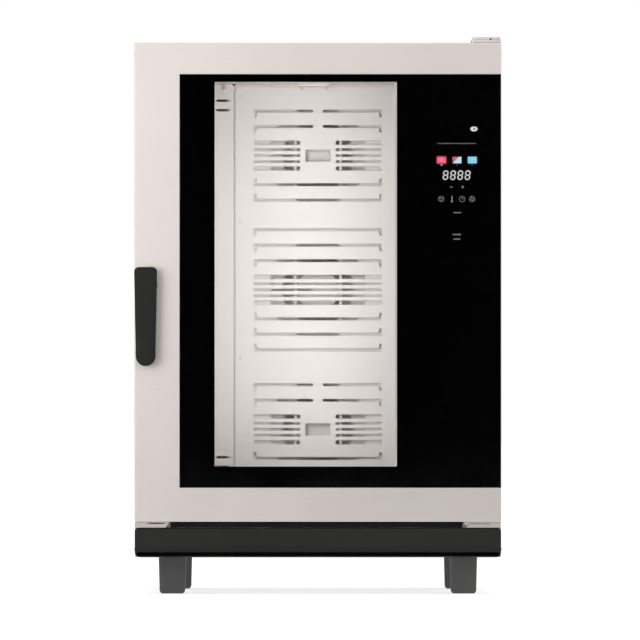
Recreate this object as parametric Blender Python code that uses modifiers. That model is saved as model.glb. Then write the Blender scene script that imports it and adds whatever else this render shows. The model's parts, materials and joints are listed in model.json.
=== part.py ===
"""Ten-level combi steamer oven for 600 x 400 mm bakery trays, on four levelling feet.

Metres, +Z up, front towards -Y. The origin is on the floor, at the centre of the footprint.
Every sub-part is one object. Moving ones are parented to an empty on their joint's axis.
"""
from math import cos, pi, radians, sin, sqrt, tau

import bmesh
import bpy
from mathutils import Matrix, Vector

# ---------------------------------------------------------------- driving dimensions
HALF_WIDTH = 0.380
HALF_DEPTH = 0.455          # handle in front, pipe stubs behind
OVERALL_TOP = 1.1550        # top of the upper hinge bracket and of the flue
CABINET_TOP = 1.1426
BASE_Z = 0.076              # underside of the cabinet
GAP = 0.0003                # between touching pieces
SHEET = 0.0015

# depths, front to back
DOOR_FRONT = -0.395
DOOR_BACK = -0.337
CABINET_FRONT = -0.333
CABINET_BACK = 0.442
BAFFLE_Y = 0.130            # front face of the air baffle
HEATER_Y = 0.195
MOTOR_FLANGE = 0.2815
PLENUM_BACK = 0.250         # inner face of the cavity's rear wall

# cooking cavity, inner faces
CAVITY_HALF_W = 0.322
CAVITY_FLOOR = 0.190
CAVITY_TOP = 1.076
CAVITY_CORNER = 0.020
INSULATION = 0.0287
MOUTH_PLATE = 0.003         # plate around the mouth
BACK_PLATE = 0.002

# door
DOOR_BOTTOM = 0.150
DOOR_SHELL_BACK = -0.345
GLASS_LEFT = -0.2868
GLASS_BOTTOM = 0.2205
GLASS_TOP = 1.0776
GLASS_THICK = 0.006
WINDOW_LOW = (-0.2140, 0.2646)
WINDOW_HIGH = (0.1636, 1.0613)
HINGE_X = 0.366
HINGE_Y = -0.372
PIN_RADIUS = 0.007

# handle and latch, which turn about one axis along Y
HANDLE_X = -0.356
HANDLE_Z = 0.640
HANDLE_LOW = 0.472
HANDLE_HIGH = 0.677
HANDLE_TOP_WIDTH = 0.048
HANDLE_LOW_WIDTH = 0.041
HANDLE_BACK = -0.433
CAM_BACK = -0.320

# fans and the slots in front of them, each row by its distance from the fan's centre line
FAN_HEIGHTS = {"top": 0.9233, "middle": 0.6380, "bottom": 0.3411}
FAN_RADIUS = 0.112
INLET_RADIUS = 0.106
HEATER_RADIUS = 0.128
SLOT_HALF = 0.1366
SLOT_HEIGHT = 0.0065
SLOT_LEG = 0.0160
ROW_OUTER = 0.1280
ROW_FAR = 0.0948
ROW_NEAR = 0.0619
CORE_ROWS = {0.0274: 0.0090, 0.0127: 0.0054, 0.0: 0.0054, -0.0127: 0.0054, -0.0274: 0.0090}
BAFFLE_HALF = 0.176
BAFFLE_LOW = 0.197
BAFFLE_HIGH = 1.0705
WING_INNER = 0.181
WING_OUTER = 0.300
WING_SLOTS = (1.0401, 1.0198, 0.2819, 0.2616)
LEG_HALF = 0.004            # square legs that hold baffle and wings off the rear wall

# racks, which stand on studs of the cavity's side walls
STUD_TOP = 0.205
POST_DEPTH = 0.012
POST_FRONTS = (-0.285, 0.085)
RAIL_THICK = 0.002
RACK_LEVELS = 10
RACK_PITCH = 0.080
FIRST_LEVEL = 0.245

# feet
FOOT_FRONT_X, FOOT_REAR_X = 0.303, 0.298
FOOT_HALF = 0.028
FOOT_FRONT_Y = -0.282
FOOT_REAR_Y = 0.318
FOOT_PLACES = {
    "foot_front_left": (-FOOT_FRONT_X, FOOT_FRONT_Y), "foot_rear_left": (-FOOT_REAR_X, FOOT_REAR_Y),
    "foot_front_right": (FOOT_FRONT_X, FOOT_FRONT_Y), "foot_rear_right": (FOOT_REAR_X, FOOT_REAR_Y),
}

# front bar and the two brackets over it
BAR_TOP = 0.137
BRACKET_LOW = 0.1380
BRACKET_HIGH = 0.1495

# services at the back
DRAIN_Y = -0.050
DRAIN_Z = 0.108
DRAIN_RADIUS = 0.020
FLUE = (0.200, 0.190)
FLUE_RADIUS = 0.025
FLAP_Z = 1.122
VALVE = (-0.280, 0.165)
GLAND = (0.330, 0.165)
COOLER = (0.255, 0.260)
COOLER_HALF = 0.040
PIPE_X = -0.160
PIPE_RADIUS = 0.004

FRONT_VIEW = Matrix.Rotation(pi / 2, 4, "X")    # a flat outline (x, z) stands up, facing -Y


# ---------------------------------------------------------------- scene and materials
def clear_scene():
    for old in list(bpy.data.objects):
        bpy.data.objects.remove(old, do_unlink=True)
    collections = []
    for name in ("combi_steamer_oven", "cutters"):
        collection = bpy.data.collections.new(name)
        bpy.context.scene.collection.children.link(collection)
        collections.append(collection)
    return collections


PARTS, CUTTERS = clear_scene()


def finish(name, colour, roughness, metallic):
    """A plain Principled BSDF of one colour."""
    mat = bpy.data.materials.new(name)
    mat.use_nodes = True
    shader = mat.node_tree.nodes["Principled BSDF"]
    shader.inputs["Base Color"].default_value = (*colour, 1.0)
    shader.inputs["Roughness"].default_value = roughness
    shader.inputs["Metallic"].default_value = metallic
    return mat


STEEL = ("steel", (0.78, 0.74, 0.72), 0.32, 1.0)
LINING = ("lining_steel", (0.80, 0.77, 0.73), 0.38, 1.0)
ZINC = ("zinc_steel", (0.60, 0.61, 0.62), 0.45, 1.0)
BLACK_PLASTIC = ("black_plastic", (0.035, 0.034, 0.034), 0.45, 0.0)
FOOT_PLASTIC = ("foot_plastic", (0.060, 0.060, 0.060), 0.55, 0.0)
RUBBER = ("silicone_rubber", (0.030, 0.030, 0.030), 0.70, 0.0)
WOOL = ("mineral_wool", (0.55, 0.50, 0.34), 0.95, 0.0)
CLEAR = ("clear_glass", (0.80, 0.84, 0.83), 0.05, 0.0)
PRINT = ("black_enamel", (0.004, 0.004, 0.004), 0.20, 0.0)
BOARD = ("circuit_board", (0.020, 0.110, 0.050), 0.50, 0.0)
LAMP = ("lamp_diffuser", (0.95, 0.93, 0.88), 0.40, 0.0)
HEATER = ("heater_alloy", (0.30, 0.29, 0.27), 0.40, 1.0)
MOTOR = ("motor_shell", (0.36, 0.37, 0.38), 0.45, 1.0)
BRASS = ("brass", (0.72, 0.53, 0.25), 0.35, 1.0)


# ---------------------------------------------------------------- mesh helpers
def link(name, mesh, collection=PARTS):
    obj = bpy.data.objects.new(name, mesh)
    collection.objects.link(obj)
    return obj


def part(name, mesh, look, parent=None):
    """One sub-part with its own material, hung on the empty of the body it moves with."""
    obj = link(name, mesh)
    obj.data.materials.clear()
    obj.data.materials.append(finish(f"{name}_{look[0]}", *look[1:]))
    if parent is not None:
        obj.parent = parent
        obj.matrix_parent_inverse = Matrix.Translation(-parent.location)
    return obj


def axis_empty(name, location):
    empty = link(name, None)
    empty.location = location
    return empty


def to_mesh(bm, name):
    bmesh.ops.recalc_face_normals(bm, faces=bm.faces)
    mesh = bpy.data.meshes.new(name)
    bm.to_mesh(mesh)
    bm.free()
    return mesh


def add_box(bm, low, high, matrix=None):
    """A block between two corners, turned by the matrix if one is given."""
    verts = bmesh.ops.create_cube(bm, size=1.0)["verts"]
    for vert in verts:
        vert.co = [a + (c + 0.5) * (b - a) for a, b, c in zip(low, high, vert.co)]
    if matrix is not None:
        bmesh.ops.transform(bm, matrix=matrix, verts=verts)
    return verts


def boxes(name, corners):
    """Separate blocks in one mesh, from pairs of corners."""
    bm = bmesh.new()
    for low, high in corners:
        add_box(bm, low, high)
    return to_mesh(bm, name)


def add_rod(bm, axis, centre, radius, start, end, sides=24, end_radius=None):
    """A capped cylinder or cone along X, Y or Z. The centre gives the two other coordinates."""
    turns = {"X": Matrix.Rotation(pi / 2, 4, "Y"), "Y": Matrix.Rotation(-pi / 2, 4, "X"), "Z": Matrix()}
    middle = list(centre)
    middle.insert("XYZ".index(axis), (start + end) / 2)
    far = radius if end_radius is None else end_radius
    bmesh.ops.create_cone(bm, cap_ends=True, segments=sides, radius1=radius, radius2=far,
                          depth=abs(end - start), matrix=Matrix.Translation(middle) @ turns[axis])


def rods(name, rows):
    """Separate rods in one mesh, each row holding add_rod's arguments."""
    bm = bmesh.new()
    for row in rows:
        add_rod(bm, *row)
    return to_mesh(bm, name)


def modified(mesh, *settings):
    """The mesh after a stack of modifiers, each given as its type and its properties."""
    obj = link("work", mesh, CUTTERS)
    for kind, values in settings:
        modifier = obj.modifiers.new(kind, kind)
        for key, value in values.items():
            setattr(modifier, key, value)
    result = bpy.data.meshes.new_from_object(obj.evaluated_get(bpy.context.evaluated_depsgraph_get()))
    bpy.data.objects.remove(obj)
    return result


def combine(mesh, tool, operation):
    """A Boolean of two meshes, both in world coordinates."""
    other = link("tool", tool, CUTTERS)
    result = modified(mesh, ("BOOLEAN", {"object": other, "operation": operation, "solver": "EXACT"}))
    bpy.data.objects.remove(other)
    return result


def cut(mesh, tool):
    return combine(mesh, tool, "DIFFERENCE")


def weld(mesh, tool):
    return combine(mesh, tool, "UNION")


def bevelled(mesh, width, segments=2, angle=30):
    return modified(mesh, ("BEVEL", {"width": width, "segments": segments, "limit_method": "ANGLE",
                                     "angle_limit": radians(angle)}))


def shell(name, low, high, open_side, thickness=SHEET, round_edges=0.0, keep_sharp=()):
    """A folded sheet box, open on one side, its outside between the two corners.

    Only the edges that leave the sides named in keep_sharp alone are rounded.
    """
    bm = bmesh.new()
    add_box(bm, low, high)
    bm.normal_update()
    gone = [f for f in bm.faces if f.normal.dot(Vector(open_side)) > 0.9]
    bmesh.ops.delete(bm, geom=gone, context="FACES")
    if round_edges:
        inner = [e for e in bm.edges if len(e.link_faces) == 2]
        sharp = [Vector(side) for side in keep_sharp]
        chosen = [e for e in inner
                  if not any(f.normal.dot(side) > 0.9 for f in e.link_faces for side in sharp)]
        bmesh.ops.bevel(bm, geom=chosen, offset=round_edges, segments=2, profile=0.5, affect="EDGES")
    mesh = bpy.data.meshes.new(name)
    bm.to_mesh(mesh)
    bm.free()
    return modified(mesh, ("SOLIDIFY", {"thickness": thickness, "offset": -1.0,
                                        "use_even_offset": True}))


def circle(x, y, radius, sides=24, start=0.0):
    return [(x + radius * cos(start + tau * i / sides), y + radius * sin(start + tau * i / sides))
            for i in range(sides)]


def rounded(low, high, radius, steps=3):
    """A rectangle with round corners, anticlockwise."""
    corners = [(high[0] - radius, high[1] - radius), (low[0] + radius, high[1] - radius),
               (low[0] + radius, low[1] + radius), (high[0] - radius, low[1] + radius)]
    points = []
    for quarter, (x, y) in enumerate(corners):
        for step in range(steps + 1):
            angle = (quarter + step / steps) * pi / 2
            points.append((x + radius * cos(angle), y + radius * sin(angle)))
    return points


def rectangle(low, high):
    return [(low[0], low[1]), (high[0], low[1]), (high[0], high[1]), (low[0], high[1])]


def plate(name, loops, start, end, turn=FRONT_VIEW):
    """A flat outline with holes, from start to end along its thickness.

    Upright plates take (x, z) outlines and Y limits, flat ones (turn=Matrix()) (x, y) and Z limits.
    """
    curve = bpy.data.curves.new(name, "CURVE")
    curve.dimensions = "2D"
    curve.fill_mode = "BOTH"
    curve.extrude = (end - start) / 2
    for loop in loops:
        spline = curve.splines.new("POLY")
        spline.points.add(len(loop) - 1)
        for point, (x, y) in zip(spline.points, loop):
            point.co = (x, y, 0.0, 1.0)
        spline.use_cyclic_u = True
    middle = (start + end) / 2
    shift = Vector((0, middle, 0)) if turn is FRONT_VIEW else Vector((0, 0, middle))
    return curve_mesh(name, curve, Matrix.Translation(shift) @ turn)


def curve_mesh(name, curve, matrix):
    """The curve as a closed mesh, its caps welded on."""
    obj = link(name, curve, CUTTERS)
    source = bpy.data.meshes.new_from_object(obj.evaluated_get(bpy.context.evaluated_depsgraph_get()))
    bpy.data.objects.remove(obj)
    bm = bmesh.new()
    bm.from_mesh(source)
    bmesh.ops.remove_doubles(bm, verts=bm.verts, dist=0.00002)
    bmesh.ops.transform(bm, matrix=matrix, verts=bm.verts)
    return to_mesh(bm, name)


def rounded_route(points, radius, steps=4):
    """The corners of a route replaced by smooth bends."""
    route = [Vector(points[0])]
    for before, corner, after in zip(points, points[1:], points[2:]):
        corner = Vector(corner)
        a = corner + (Vector(before) - corner).normalized() * radius
        b = corner + (Vector(after) - corner).normalized() * radius
        for step in range(steps + 1):
            t = step / steps
            route.append(a * (1 - t) ** 2 + corner * 2 * t * (1 - t) + b * t ** 2)
    route.append(Vector(points[-1]))
    return route


def tube(name, points, radius):
    """A round bar along a route, with filled ends."""
    curve = bpy.data.curves.new(name, "CURVE")
    curve.dimensions = "3D"
    curve.bevel_depth = radius
    curve.bevel_resolution = 2
    curve.use_fill_caps = True
    spline = curve.splines.new("POLY")
    spline.points.add(len(points) - 1)
    for point, place in zip(spline.points, points):
        point.co = (*place, 1.0)
    return curve_mesh(name, curve, Matrix())


def turned(name, profile, axis, centre, sides=24):
    """A profile of (radius, place along the axis), turned about an axis along Y or Z.

    The profile runs along its outer side from the far end to the near end of the axis.
    """
    mesh = bpy.data.meshes.new(name)
    mesh.from_pydata([(r, 0.0, h) for r, h in profile],
                     [(i, i + 1) for i in range(len(profile) - 1)], [])
    solid = modified(mesh, ("SCREW", {"steps": sides, "render_steps": sides, "use_merge_vertices": True,
                                      "merge_threshold": 0.0001}))
    if axis == "Y":
        solid.transform(Matrix.Translation((centre[0], 0, centre[1])) @ Matrix.Rotation(-pi / 2, 4, "X"))
    else:
        solid.transform(Matrix.Translation((centre[0], centre[1], 0)))
    bm = bmesh.new()
    bm.from_mesh(solid)
    return to_mesh(bm, name)


def smooth(obj, angle=35):
    obj.data.shade_smooth()
    obj.data.set_sharp_from_angle(angle=radians(angle))


# ---------------------------------------------------------------- cabinet
def through_rear_wall():
    """Tools for every hole that goes through the cavity's rear wall and its insulation."""
    rows = []
    for height in FAN_HEIGHTS.values():
        rows.append(("Y", (0.0, height), 0.014, 0.240, 0.300, 12))
        for side in (-1, 1):
            x, z = heater_leg(height, side)
            rows.append(("Y", (x, z), 0.0060, 0.240, 0.300, 8))
    rows.append(("Y", (PIPE_X, FAN_HEIGHTS["middle"]), PIPE_RADIUS + 0.0010, 0.240, 0.300, 8))
    return rods("rear_holes", rows)


def floor_and_ceiling_holes():
    """Tools for the drain in the floor and the flue in the ceiling."""
    return rods("service_holes", [
        ("Z", (0.0, DRAIN_Y), DRAIN_RADIUS + 0.0010, 0.150, 0.200, 16),
        ("Z", FLUE, FLUE_RADIUS + 0.0010, 1.060, 1.115, 16)])


def make_cavity():
    wall = SHEET
    low = (-CAVITY_HALF_W - wall, CABINET_FRONT + MOUTH_PLATE + GAP, CAVITY_FLOOR - wall)
    high = (CAVITY_HALF_W + wall, PLENUM_BACK + wall, CAVITY_TOP + wall)
    liner = shell("cavity_liner", low, high, (0, -1, 0), wall, CAVITY_CORNER, [(0, 1, 0)])
    liner = cut(cut(liner, through_rear_wall()), floor_and_ceiling_holes())
    studs = []
    for side in (-1, 1):
        x = sorted((side * (CAVITY_HALF_W + wall / 2), side * 0.310))
        studs += [((x[0], y, STUD_TOP - 0.010), (x[1], y + POST_DEPTH, STUD_TOP)) for y in POST_FRONTS]
    part("cavity_liner", weld(liner, boxes("studs", studs)), LINING)

    reach = INSULATION + GAP
    low = (low[0] - reach, -0.310, low[2] - reach)
    high = (high[0] + reach, high[1] + reach, high[2] + reach)
    wool = shell("insulation", low, high, (0, -1, 0), INSULATION)
    wool = cut(cut(wool, through_rear_wall()), floor_and_ceiling_holes())
    part("insulation", wool, WOOL)


def make_front_frame():
    """The plate around the oven's mouth, its seal and the latch's strike box."""
    mouth = rounded((-CAVITY_HALF_W, CAVITY_FLOOR), (CAVITY_HALF_W, CAVITY_TOP), CAVITY_CORNER)
    latch = rectangle((HANDLE_X - 0.0135, HANDLE_Z - 0.0135), (HANDLE_X + 0.0135, HANDLE_Z + 0.0135))
    outer = rectangle((-HALF_WIDTH, BAR_TOP + 0.0005), (HALF_WIDTH, CABINET_TOP))
    frame = plate("front_frame", [outer, mouth, latch], CABINET_FRONT, CABINET_FRONT + MOUTH_PLATE)
    part("front_frame", frame, STEEL)

    inner_edge = 0.003
    width = 0.012
    inside = rounded((-CAVITY_HALF_W - inner_edge, CAVITY_FLOOR - inner_edge),
                     (CAVITY_HALF_W + inner_edge, CAVITY_TOP + inner_edge), CAVITY_CORNER)
    edge = inner_edge + width
    outside = rounded((-CAVITY_HALF_W - edge, CAVITY_FLOOR - edge),
                      (CAVITY_HALF_W + edge, CAVITY_TOP + edge), CAVITY_CORNER + width)
    seal = plate("door_gasket", [outside, inside], DOOR_BACK + GAP, CABINET_FRONT - GAP)
    part("door_gasket", seal, RUBBER)

    strike = shell("latch_strike", (HANDLE_X - 0.0155, CABINET_FRONT + MOUTH_PLATE + GAP, HANDLE_Z - 0.0155),
                   (HANDLE_X + 0.0155, -0.3135, HANDLE_Z + 0.0155), (0, -1, 0), 0.0018)
    part("latch_strike", strike, ZINC)


def make_base():
    """The pan that carries everything, with holes for the feet, the drain and the bar's tongues."""
    half = HALF_WIDTH - 0.0085
    front = CABINET_FRONT + 0.0035
    back = CABINET_BACK - 0.0025
    pan = shell("base_tray", (-half, front, BASE_Z), (half, back, 0.136), (0, 0, 1), 0.002)
    holes = [("Z", place, 0.0065, 0.070, 0.085, 12) for place in FOOT_PLACES.values()]
    holes.append(("Y", (0.0, DRAIN_Z), DRAIN_RADIUS + 0.0010, 0.430, 0.450, 16))
    pan = cut(pan, rods("pan_holes", holes))
    slots = [((x - 0.016, front - 0.005, 0.083), (x + 0.016, front + 0.005, 0.088)) for x in (-0.25, 0.25)]
    part("base_tray", cut(pan, boxes("tongue_slots", slots)), ZINC)


def vent_rows(x0, x1, y0, y1, first, count, pitch, height):
    """Cutting blocks for a column of slots."""
    return [((x0, y0, first + i * pitch), (x1, y1, first + i * pitch + height)) for i in range(count)]


def make_side_panels():
    front = CABINET_FRONT + MOUTH_PLATE + GAP
    back = CABINET_BACK - BACK_PLATE - GAP
    for side, name in ((-1, "left_side_panel"), (1, "right_side_panel")):
        x = sorted((side * HALF_WIDTH, side * (HALF_WIDTH - 0.008)))
        panel = shell(name, (x[0], front, BASE_Z), (x[1], back, CABINET_TOP - SHEET - GAP),
                      (-side, 0, 0), 0.0012)
        vents = vent_rows(x[0] - 0.01, x[1] + 0.01, 0.300, 0.400, 0.180, 7, 0.020, 0.007)
        part(name, cut(panel, boxes("vents", vents)), STEEL)


def make_top_and_back():
    outline = rectangle((-HALF_WIDTH, CABINET_FRONT + MOUTH_PLATE + GAP), (HALF_WIDTH, CABINET_BACK))
    flue_hole = circle(*FLUE, FLUE_RADIUS + 0.001, 16)
    lid = plate("top_panel", [outline, flue_hole], CABINET_TOP - SHEET, CABINET_TOP, Matrix())
    part("top_panel", lid, STEEL)

    loops = [rectangle((-HALF_WIDTH + 0.001, BASE_Z), (HALF_WIDTH - 0.001, CABINET_TOP - SHEET - GAP))]
    loops.append(circle(0.0, DRAIN_Z, DRAIN_RADIUS + 0.001, 16))
    loops.append(circle(*VALVE, 0.0150, 16))
    loops.append(circle(*GLAND, 0.0130, 16))
    for i in range(-4, 5):
        reach = sqrt(0.037 ** 2 - (i * 0.008) ** 2)
        x = COOLER[0] + i * 0.008
        loops.append(rectangle((x - 0.002, COOLER[1] - reach), (x + 0.002, COOLER[1] + reach)))
    for column in (-0.205, 0.205):
        for i in range(5):
            z = 0.900 + i * 0.024
            loops.append(rectangle((column - 0.035, z), (column + 0.035, z + 0.008)))
    rear = plate("back_panel", loops, CABINET_BACK - BACK_PLATE, CABINET_BACK - GAP)
    part("back_panel", rear, STEEL)


# ---------------------------------------------------------------- air system
def u_slot(z, inward, x0, x1, legs):
    """A slot from x0 to x1 whose ends named in legs turn towards the fan's centre line."""
    half = SLOT_HEIGHT / 2
    width = SLOT_HEIGHT
    outer = z - inward * half
    inner = z + inward * half
    tip = z - inward * half + inward * SLOT_LEG
    points = [(x0, outer), (x1, outer)]
    points += [(x1, tip), (x1 - width, tip), (x1 - width, inner)] if "right" in legs else [(x1, inner)]
    points += [(x0 + width, inner), (x0 + width, tip), (x0, tip)] if "left" in legs else [(x0, inner)]
    return points


def baffle_slots():
    """The slots in front of the three fans: bent rows outside, straight ones at the core."""
    web = 0.0105
    gap = 0.0375
    loops = []
    for place, centre in FAN_HEIGHTS.items():
        rows = [ROW_FAR, ROW_NEAR, -ROW_NEAR, -ROW_FAR]
        if place == "middle":
            rows = [ROW_OUTER, *rows, -ROW_OUTER]
        for row in rows:
            inward = -1 if row > 0 else 1
            if place != "middle" and row > 0:
                loops.append(u_slot(centre + row, inward, -SLOT_HALF, -web, ["left"]))
                loops.append(u_slot(centre + row, inward, web, SLOT_HALF, ["right"]))
            else:
                loops.append(u_slot(centre + row, inward, -SLOT_HALF, SLOT_HALF, ["left", "right"]))
        for row, height in CORE_ROWS.items():
            low, high = centre + row - height / 2, centre + row + height / 2
            if place == "middle":
                loops.append(rectangle((-SLOT_HALF, low), (SLOT_HALF, high)))
            else:
                loops.append(rectangle((-SLOT_HALF, low), (-gap, high)))
                loops.append(rectangle((gap, low), (SLOT_HALF, high)))
        if place != "middle":
            loops.append(rectangle((-0.0265, centre - 0.0128), (0.0265, centre + 0.0128)))
    return loops


def legs_at(places):
    """Square legs from the back of a baffle sheet to the cavity's rear wall."""
    return boxes("legs", [((x - LEG_HALF, BAFFLE_Y + SHEET / 2, z - LEG_HALF),
                           (x + LEG_HALF, PLENUM_BACK - GAP, z + LEG_HALF)) for x, z in places])


def make_baffle():
    half, low, high = BAFFLE_HALF, BAFFLE_LOW, BAFFLE_HIGH
    corner_x, corner_z = 0.006, 0.012
    outline = [(-half, low), (half, low), (half, high - corner_z), (half - corner_x, high),
               (-half + corner_x, high), (-half, high - corner_z)]
    face = plate("air_baffle", [outline, *baffle_slots()], BAFFLE_Y, BAFFLE_Y + SHEET)
    legs = legs_at([(x, z) for x in (-0.165, 0.165) for z in (low + 0.012, high - 0.022)])
    part("air_baffle", weld(face, legs), LINING)

    for side, name in ((-1, "baffle_wing_left"), (1, "baffle_wing_right")):
        x = sorted((side * WING_INNER, side * WING_OUTER))
        loops = [rectangle((x[0], low), (x[1], CAVITY_TOP - 0.001))]
        for z in WING_SLOTS:
            x = sorted((side * 0.187, side * 0.216))
            loops.append(rectangle((x[0], z - 0.00275), (x[1], z + 0.00275)))
        wing = plate(name, loops, BAFFLE_Y, BAFFLE_Y + SHEET)
        legs = legs_at([(side * x, z) for x in (0.230, 0.290) for z in (low + 0.012, 1.044)])
        part(name, weld(wing, legs), LINING)


def inlet_hole(centre, x0, x1):
    """The part of a round inlet between two upright bars."""
    steps = 4
    xs = [x0 + (x1 - x0) * i / steps for i in range(steps + 1)]
    rise = [sqrt(INLET_RADIUS ** 2 - x ** 2) for x in xs]
    low = [(x, centre - h) for x, h in zip(xs, rise)]
    high = [(x, centre + h) for x, h in zip(xs, rise)]
    return low + high[::-1]


def make_inlet_plate():
    """The plate behind the baffle that closes the plenum around each fan's eye."""
    y = BAFFLE_Y + 0.010
    tab = 0.006
    loops = [rectangle((-0.155, 0.210), (0.155, 1.060))]
    for centre in FAN_HEIGHTS.values():
        loops.append(inlet_hole(centre, -0.1000, -0.0505))
        loops.append(inlet_hole(centre, -0.0455, 0.0455))
        loops.append(inlet_hole(centre, 0.0505, 0.1000))
    face = plate("inlet_plate", loops, y, y + 0.0012)
    tabs = [((x - tab, BAFFLE_Y + SHEET + GAP, z - tab), (x + tab, y + 0.0006, z + tab))
            for x in (-0.145, 0.145) for z in (0.493, 0.784)]
    part("inlet_plate", weld(face, boxes("tabs", tabs)), LINING)


def heater_leg(height, side):
    """Where a heater's straight end goes through the rear wall, as (x, z)."""
    angle = pi + side * radians(6)
    return HEATER_RADIUS * cos(angle), height + HEATER_RADIUS * sin(angle)


def make_heaters():
    steps = 22
    for place, height in FAN_HEIGHTS.items():
        first = pi + radians(6)
        last = pi - radians(6) + tau
        ring = []
        for i in range(steps + 1):
            angle = first + (last - first) * i / steps
            z = height + HEATER_RADIUS * sin(angle)
            ring.append(Vector((HEATER_RADIUS * cos(angle), HEATER_Y, z)))
        bend = Vector((0, 0.006, 0))
        straight = Vector((0, 0.095, 0))
        route = [ring[0] + straight, ring[0] + bend, *ring[1:-1], ring[-1] + bend, ring[-1] + straight]
        smooth(part(f"heater_ring_{place}", tube("heater", route, 0.004), HEATER))


def make_fans():
    blades = 8
    for place, height in FAN_HEIGHTS.items():
        motor = turned("motor", [(0.0, 0.405), (0.020, 0.405), (0.042, 0.396), (0.048, 0.388),
                                 (0.048, 0.300), (0.060, 0.300), (0.060, MOTOR_FLANGE),
                                 (0.0095, MOTOR_FLANGE), (0.0095, 0.296), (0.0, 0.296)],
                       "Y", (0.0, height), 16)
        smooth(part(f"fan_motor_{place}", motor, MOTOR))

        axis = axis_empty(f"fan_axis_{place}", (0.0, 0.235, height))
        wheel = turned("wheel", [(0.0, 0.292), (0.008, 0.292), (0.008, 0.246), (0.018, 0.246),
                                 (0.018, 0.235), (FAN_RADIUS, 0.235), (FAN_RADIUS, 0.2325),
                                 (0.018, 0.2325), (0.015, 0.212), (0.0, 0.212)], "Y", (0.0, height), 20)
        bm = bmesh.new()
        for i in range(blades):
            turn = (Matrix.Translation((0, 0, height)) @ Matrix.Rotation(tau * i / blades, 4, "Y")
                    @ Matrix.Translation((0.093, 0, 0)) @ Matrix.Rotation(radians(28), 4, "Y"))
            add_box(bm, (-0.016, 0.166, -0.001), (0.016, 0.2335, 0.001), turn)
        wheel = weld(wheel, to_mesh(bm, "blades"))
        edges = [circle(0.0, height, FAN_RADIUS, 20), circle(0.0, height, 0.076, 20)]
        rim = plate("rim", edges, 0.1645, 0.1668)
        smooth(part(f"fan_wheel_{place}", weld(wheel, rim), LINING, axis))


# ---------------------------------------------------------------- racks
def make_racks():
    """Two lift-out racks: ten flat rails tabbed to two posts each, standing on the cavity's studs."""
    for side, name in ((-1, "tray_rack_left"), (1, "tray_rack_right")):
        x = sorted((side * 0.285, side * 0.308))
        heights = [FIRST_LEVEL + level * RACK_PITCH for level in range(RACK_LEVELS)]
        rails = boxes("rails", [((x[0], -0.300, z), (x[1], 0.112, z + RAIL_THICK)) for z in heights])
        x = sorted((side * 0.3075, side * 0.3130))
        tabs = boxes("tabs", [((x[0], y, z), (x[1], y + POST_DEPTH, z + RAIL_THICK))
                              for z in heights for y in POST_FRONTS])
        x = sorted((side * 0.3125, side * 0.318))
        posts = [((x[0], y, STUD_TOP + GAP), (x[1], y + POST_DEPTH, 1.048)) for y in POST_FRONTS]
        axis = axis_empty(f"{name}_axis", (side * 0.313, -0.100, STUD_TOP))
        part(name, weld(weld(rails, tabs), boxes("posts", posts)), LINING, axis)


# ---------------------------------------------------------------- services
def make_drain():
    """A drop tube under the cavity ends in a small trap box, and the outlet tube leaves from its back."""
    wall, half = 0.0025, 0.0240
    bore = DRAIN_RADIUS - wall
    trap_top = DRAIN_Z + half
    solids = []
    for inset, radius, reach in ((0.0, DRAIN_RADIUS, 0.0), (wall, bore, 0.005)):
        size = half - inset
        low = (-size, DRAIN_Y - size, DRAIN_Z - size)
        high = (size, DRAIN_Y + size, DRAIN_Z + size)
        outlet = rods("outlet", [("Y", (0.0, DRAIN_Z), radius, DRAIN_Y, HALF_DEPTH + reach, 24)])
        solids.append(weld(boxes("trap", [(low, high)]), outlet))
    mouth = rods("mouth", [("Z", (0.0, DRAIN_Y), bore, DRAIN_Z, trap_top + wall, 24)])
    smooth(part("drain_pipe", cut(cut(*solids), mouth), ZINC))
    loops = [circle(0.0, DRAIN_Y, DRAIN_RADIUS, 24), circle(0.0, DRAIN_Y, bore, 24)]
    drop = plate("drop", loops, trap_top + GAP, CAVITY_FLOOR - 0.0002, Matrix())
    smooth(part("drain_drop", drop, ZINC))
    ring = circle(0.0, DRAIN_Y, 0.024, 8)
    holes = [circle(x, y, 0.006, 8) for x, y in ring]
    loops = [circle(0.0, DRAIN_Y, 0.040, 20), circle(0.0, DRAIN_Y, 0.007, 8), *holes]
    strainer = plate("strainer", loops, CAVITY_FLOOR + GAP, CAVITY_FLOOR + 0.002, Matrix())
    part("drain_strainer", strainer, LINING)


def make_flue():
    loops = [circle(*FLUE, FLUE_RADIUS, 20), circle(*FLUE, FLUE_RADIUS - SHEET, 20)]
    pipe = plate("flue", loops, CAVITY_TOP - 0.004, OVERALL_TOP, Matrix())
    bore = rods("bore", [("X", (FLUE[1], FLAP_Z), 0.0035, FLUE[0] - 0.040, FLUE[0] + 0.040, 10)])
    smooth(part("flue", cut(pipe, bore), ZINC))

    axis = axis_empty("damper_axis", (FLUE[0], FLUE[1], FLAP_Z))
    disc = rods("disc", [("Z", FLUE, 0.0228, FLAP_Z - 0.0008, FLAP_Z + 0.0008, 20)])
    rod = rods("rod", [("X", (FLUE[1], FLAP_Z), 0.003, FLUE[0] - 0.030, FLUE[0] + 0.046, 10)])
    part("damper_flap", weld(disc, rod), ZINC, axis)
    drive = boxes("drive", [((FLUE[0] + 0.0463, FLUE[1] - 0.020, FLAP_Z - 0.0145),
                             (FLUE[0] + 0.0900, FLUE[1] + 0.020, FLAP_Z + 0.0165))])
    part("damper_motor", bevelled(drive, 0.003), BLACK_PLASTIC)


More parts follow.
